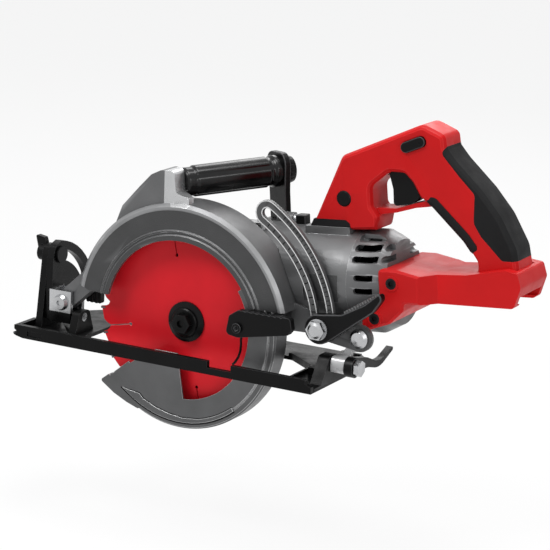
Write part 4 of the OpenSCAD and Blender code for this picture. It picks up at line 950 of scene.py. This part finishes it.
class SAW_OT_depth_scale(bpy.types.Operator):
    """Marks along the rear rail of the depth arm, and painted highlight lines along its edges"""

    bl_idname = "saw.depth_scale"
    bl_label = "Depth scale"

    def execute(self, context):
        spaces, first, last, rail_middle = 28, 3, 26, 8.1
        places, turns = [], []
        for k in range(first, last + 1):
            t = DEPTH_SWING * k / spaces
            across = self.across(t)
            p = self.path(t) + across * rail_middle
            places.append((p.x * MM, (ARM_FACE_Y - 0.02) * MM, p.y * MM))
            turns.append((math.pi / 2, math.pi / 2 - math.atan2(across.y, across.x), 0))
        marks = repeated("depth_scale", places, turns, {
            "Length": sizes().tick_length, "Width": 0.7 * MM, "Narrow end": 0.6 * MM, "Thickness": 0.05 * MM},
            finish("ink_and_shadow"))
        seat(marks, "slotted_arm", finish("ink_and_shadow"))
        # Thin light lines on the arm's face, a painted highlight along the rails' edges
        for name, near, far in (("slot_border_highlight", 4.8, 5.7), ("arm_border_highlight", 10.5, 11.4)):
            border = new_object(name, self.border(name, near, far))
            seat(border, "slotted_arm", finish("plate_and_highlight"))
        return {"FINISHED"}

    def turned(self, v, degrees):
        c, s = math.cos(math.radians(degrees)), math.sin(math.radians(degrees))
        return Vector((c * v.x - s * v.y, s * v.x + c * v.y))

    def path(self, t):
        """Where the clamp bolt stands on the arm at a depth angle"""
        bolt = DEPTH_PIVOT + self.turned(DEPTH_BOLT - DEPTH_PIVOT, t)
        return ARM_RIVET + self.turned(bolt - ARM_RIVET, ARM_RATIO * t)

    def across(self, t):
        """Direction across the slot at a depth angle"""
        along = (self.path(t + 0.5) - self.path(t - 0.5)).normalized()
        return Vector((along.y, -along.x))

    def border(self, name, near, far):
        """A painted highlight line on the arm's face, up one rail, round its end and down the other"""
        steps, arc_steps, end, thick = 40, 20, DEPTH_SWING + 1.5, 0.03
        tip = self.across(end)
        stations = [end * (0.06 + 0.94 * i / steps) for i in range(steps + 1)]
        line = [(self.path(t), self.across(t)) for t in stations]
        line += [(self.path(end), self.turned(tip, 180 * k / arc_steps)) for k in range(1, arc_steps)]
        line += [(self.path(t), -self.across(t)) for t in reversed(stations)]
        front, back = ARM_FACE_Y - thick, ARM_FACE_Y + thick
        points = []
        for middle, out in line:
            for reach, y in ((near, front), (far, front), (far, back), (near, back)):
                p = middle + out * reach
                points.append((p.x * MM, y * MM, p.y * MM))
        last = 4 * (len(line) - 1)
        faces = [(0, 1, 2, 3), (last, last + 1, last + 2, last + 3)]
        for i in range(0, last, 4):
            faces += [(i + k, i + (k + 1) % 4, i + 4 + (k + 1) % 4, i + 4 + k) for k in range(4)]
        return mesh_from(name, points, faces)


class SAW_OT_guard_crescent(bpy.types.Operator):
    """Raised barbed crescent on the face of the lower guard, with a painted shadow line along each side"""

    bl_idname = "saw.guard_crescent"
    bl_label = "Guard crescent"

    def execute(self, context):
        # Radius in mm and angle in degrees round the arbor, along both sides of the crescent
        face = -11.5
        outer = [(92.6, 228.5)] + [(92.0, a) for a in range(234, 309, 5)] + [(92.0, 309)]
        inner = [(88.2, 309)] + [(88.2, a) for a in range(304, 280, -5)] + [
            (87.4, 273), (86.3, 263), (85.7, 253), (85.2, 244), (83.5, 240), (88.2, 233.5)]
        loop = [polar(r, a, face) for r, a in outer + inner]
        count = len(loop)
        points = [p + Vector((0, dy * MM, 0)) for dy in (-0.7, 0.4) for p in loop]
        plate = mesh_from("guard_crescent", points, [
            list(range(count)), list(range(count, 2 * count)),
            *[(i, (i + 1) % count, count + (i + 1) % count, count + i) for i in range(count)]])
        weigh_edges(plate, math.radians(30), None)
        raised = round_edges(new_object("guard_crescent", plate), 0.5 * MM, "guard")
        seat(raised, "lower_guard", finish("guard"))
        # Black beads along both sides are painted shadow at the crescent's edges
        for name, line, shift, radius in (
            ("crescent_shadow_outer", outer, 0.75, 0.6), ("crescent_shadow_inner", inner[::-1], -0.4, 0.3),
        ):
            bead = beaded(name, [polar(r + shift, a, face) for r, a in line], radius * MM)
            seat(bead, "lower_guard", finish("ink_and_shadow"))
        return {"FINISHED"}


class SAW_OT_lever_hook(bpy.types.Operator):
    """Black spring hook that hangs from the pad of the lift lever"""

    bl_idname = "saw.lever_hook"
    bl_label = "Lever hook"

    def execute(self, context):
        path = [(67, -10.6, 40), (64, -11.4, 33), (63.2, -12, 28), (63.4, -12, 23), (62.8, -12, 17),
                (61, -12, 11.5), (58, -12, 6.5), (55.5, -12, 4)]
        hook = beaded("lever_hook", [Vector(p) * MM for p in path], 1.1 * MM)
        seat(hook, "lower_guard", finish("black_metal"))
        return {"FINISHED"}


class SAW_OT_lever_ribs(bpy.types.Operator):
    """Grip ribs along the top of the depth lever, grey as a painted highlight"""

    bl_idname = "saw.lever_ribs"
    bl_label = "Lever ribs"

    def execute(self, context):
        low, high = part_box("depth_lever")
        start, end, count = DEPTH_BOLT + Vector((25, 18.6)), DEPTH_BOLT + Vector((54, 37.6)), 13
        along = (end - start).normalized()
        out = Vector((-along.y, along.x))
        places, turns = [], []
        for k in range(count):
            p = start.lerp(end, k / (count - 1)) + out * 0.2
            places.append((p.x * MM, high[1] - 1 * MM, p.y * MM))
            turns.append((math.pi / 2, math.pi / 2 - math.atan2(out.y, out.x), 0))
        ribs = repeated("lever_ribs", places, turns, {
            "Length": 2.6 * MM, "Width": 1.5 * MM, "Narrow end": 1 * MM,
            "Thickness": high[1] - low[1] - 2 * MM}, finish("rib_highlight"))
        seat(ribs, "depth_lock", finish("rib_highlight"))
        return {"FINISHED"}


class SAW_OT_finger_pad(bpy.types.Operator):
    """Soft pad for the fingers on the inside of the rear grip"""

    bl_idname = "saw.finger_pad"
    bl_label = "Finger pad"

    def execute(self, context):
        # Along the inside of the grip, then half sections at the pad's ends and at its middle
        path = [Vector(p) for p in (
            (220, 114.9), (229, 110), (239, 100), (249, 90), (257.5, 81.5), (263, 74), (267.5, 67))]
        sunk = [(-17, -4), (-17, -3.4), (-15.5, -2), (-12, -1), (-6, -1), (0, -1)]
        proud = [(-19.9, -8.5), (-19.9, -3.4), (-18.2, -0.6), (-14.4, 1.6), (-8, 2.8), (0, 3.2)]
        sunk += [(-y, n) for y, n in sunk[-2::-1]] + [(12, -8), (-12, -8)]
        proud += [(-y, n) for y, n in proud[-2::-1]] + [(14, -10), (-14, -10)]
        stations, around = 36, len(sunk)
        points, faces = [], []
        for i in range(stations + 1):
            t = i / stations
            k = min(int(t * (len(path) - 1)), len(path) - 2)
            p = path[k].lerp(path[k + 1], t * (len(path) - 1) - k)
            along = (path[min(k + 2, len(path) - 1)] - path[max(k - 1, 0)]).normalized()
            out = Vector((along.y, -along.x))
            swell = min(1, 2.4 * math.sin(math.pi * t)) ** 0.7
            for a, b in zip(sunk, proud):
                y, n = Vector(a).lerp(Vector(b), swell)
                q = p + out * n
                points.append(on_body(q.x, MIDDLE_Y + y, q.y))
        for i in range(stations):
            for j in range(around):
                n = (j + 1) % around
                faces.append((i * around + j, i * around + n, (i + 1) * around + n, (i + 1) * around + j))
        faces.append(list(range(around)))
        faces.append(list(range(stations * around, (stations + 1) * around)))
        pad = new_object("finger_pad", mesh_from("finger_pad", points, faces))
        smooth(pad)
        seat(pad, "saw_body", finish("rubber"))
        return {"FINISHED"}


class SAW_PT_panel(bpy.types.Panel):
    """Lists the saw's pieces"""

    bl_idname = "SAW_PT_panel"
    bl_label = "Circular saw"
    bl_space_type = "VIEW_3D"
    bl_region_type = "UI"
    bl_category = "Saw"

    def draw(self, context):
        for operator in OPERATORS:
            self.layout.operator(operator.bl_idname)


OPERATORS = (
    SAW_OT_stage, SAW_OT_solids, SAW_OT_rear_handle, SAW_OT_rounded, SAW_OT_barrel_grip, SAW_OT_vented_cap,
    SAW_OT_carbide_tips, SAW_OT_depth_scale, SAW_OT_guard_crescent, SAW_OT_finger_pad, SAW_OT_lever_hook,
    SAW_OT_lever_ribs,
)
CLASSES = (SawColours, SawSizes, *OPERATORS, SAW_PT_panel)


def register():
    for cls in CLASSES:
        bpy.utils.register_class(cls)
    bpy.types.Scene.saw_colours = bpy.props.PointerProperty(type=SawColours)
    bpy.types.Scene.saw_sizes = bpy.props.PointerProperty(type=SawSizes)


def unregister():
    del bpy.types.Scene.saw_sizes
    del bpy.types.Scene.saw_colours
    for cls in reversed(CLASSES):
        bpy.utils.unregister_class(cls)


def main():
    register()
    bpy.ops.saw.stage()
    bpy.ops.saw.solids()
    bpy.ops.saw.rear_handle()
    bpy.ops.saw.rounded()
    bpy.ops.saw.barrel_grip()
    bpy.ops.saw.vented_cap()
    bpy.ops.saw.carbide_tips()
    bpy.ops.saw.depth_scale()
    bpy.ops.saw.guard_crescent()
    bpy.ops.saw.finger_pad()
    bpy.ops.saw.lever_hook()
    bpy.ops.saw.lever_ribs()


if __name__ == "__main__":
    main()
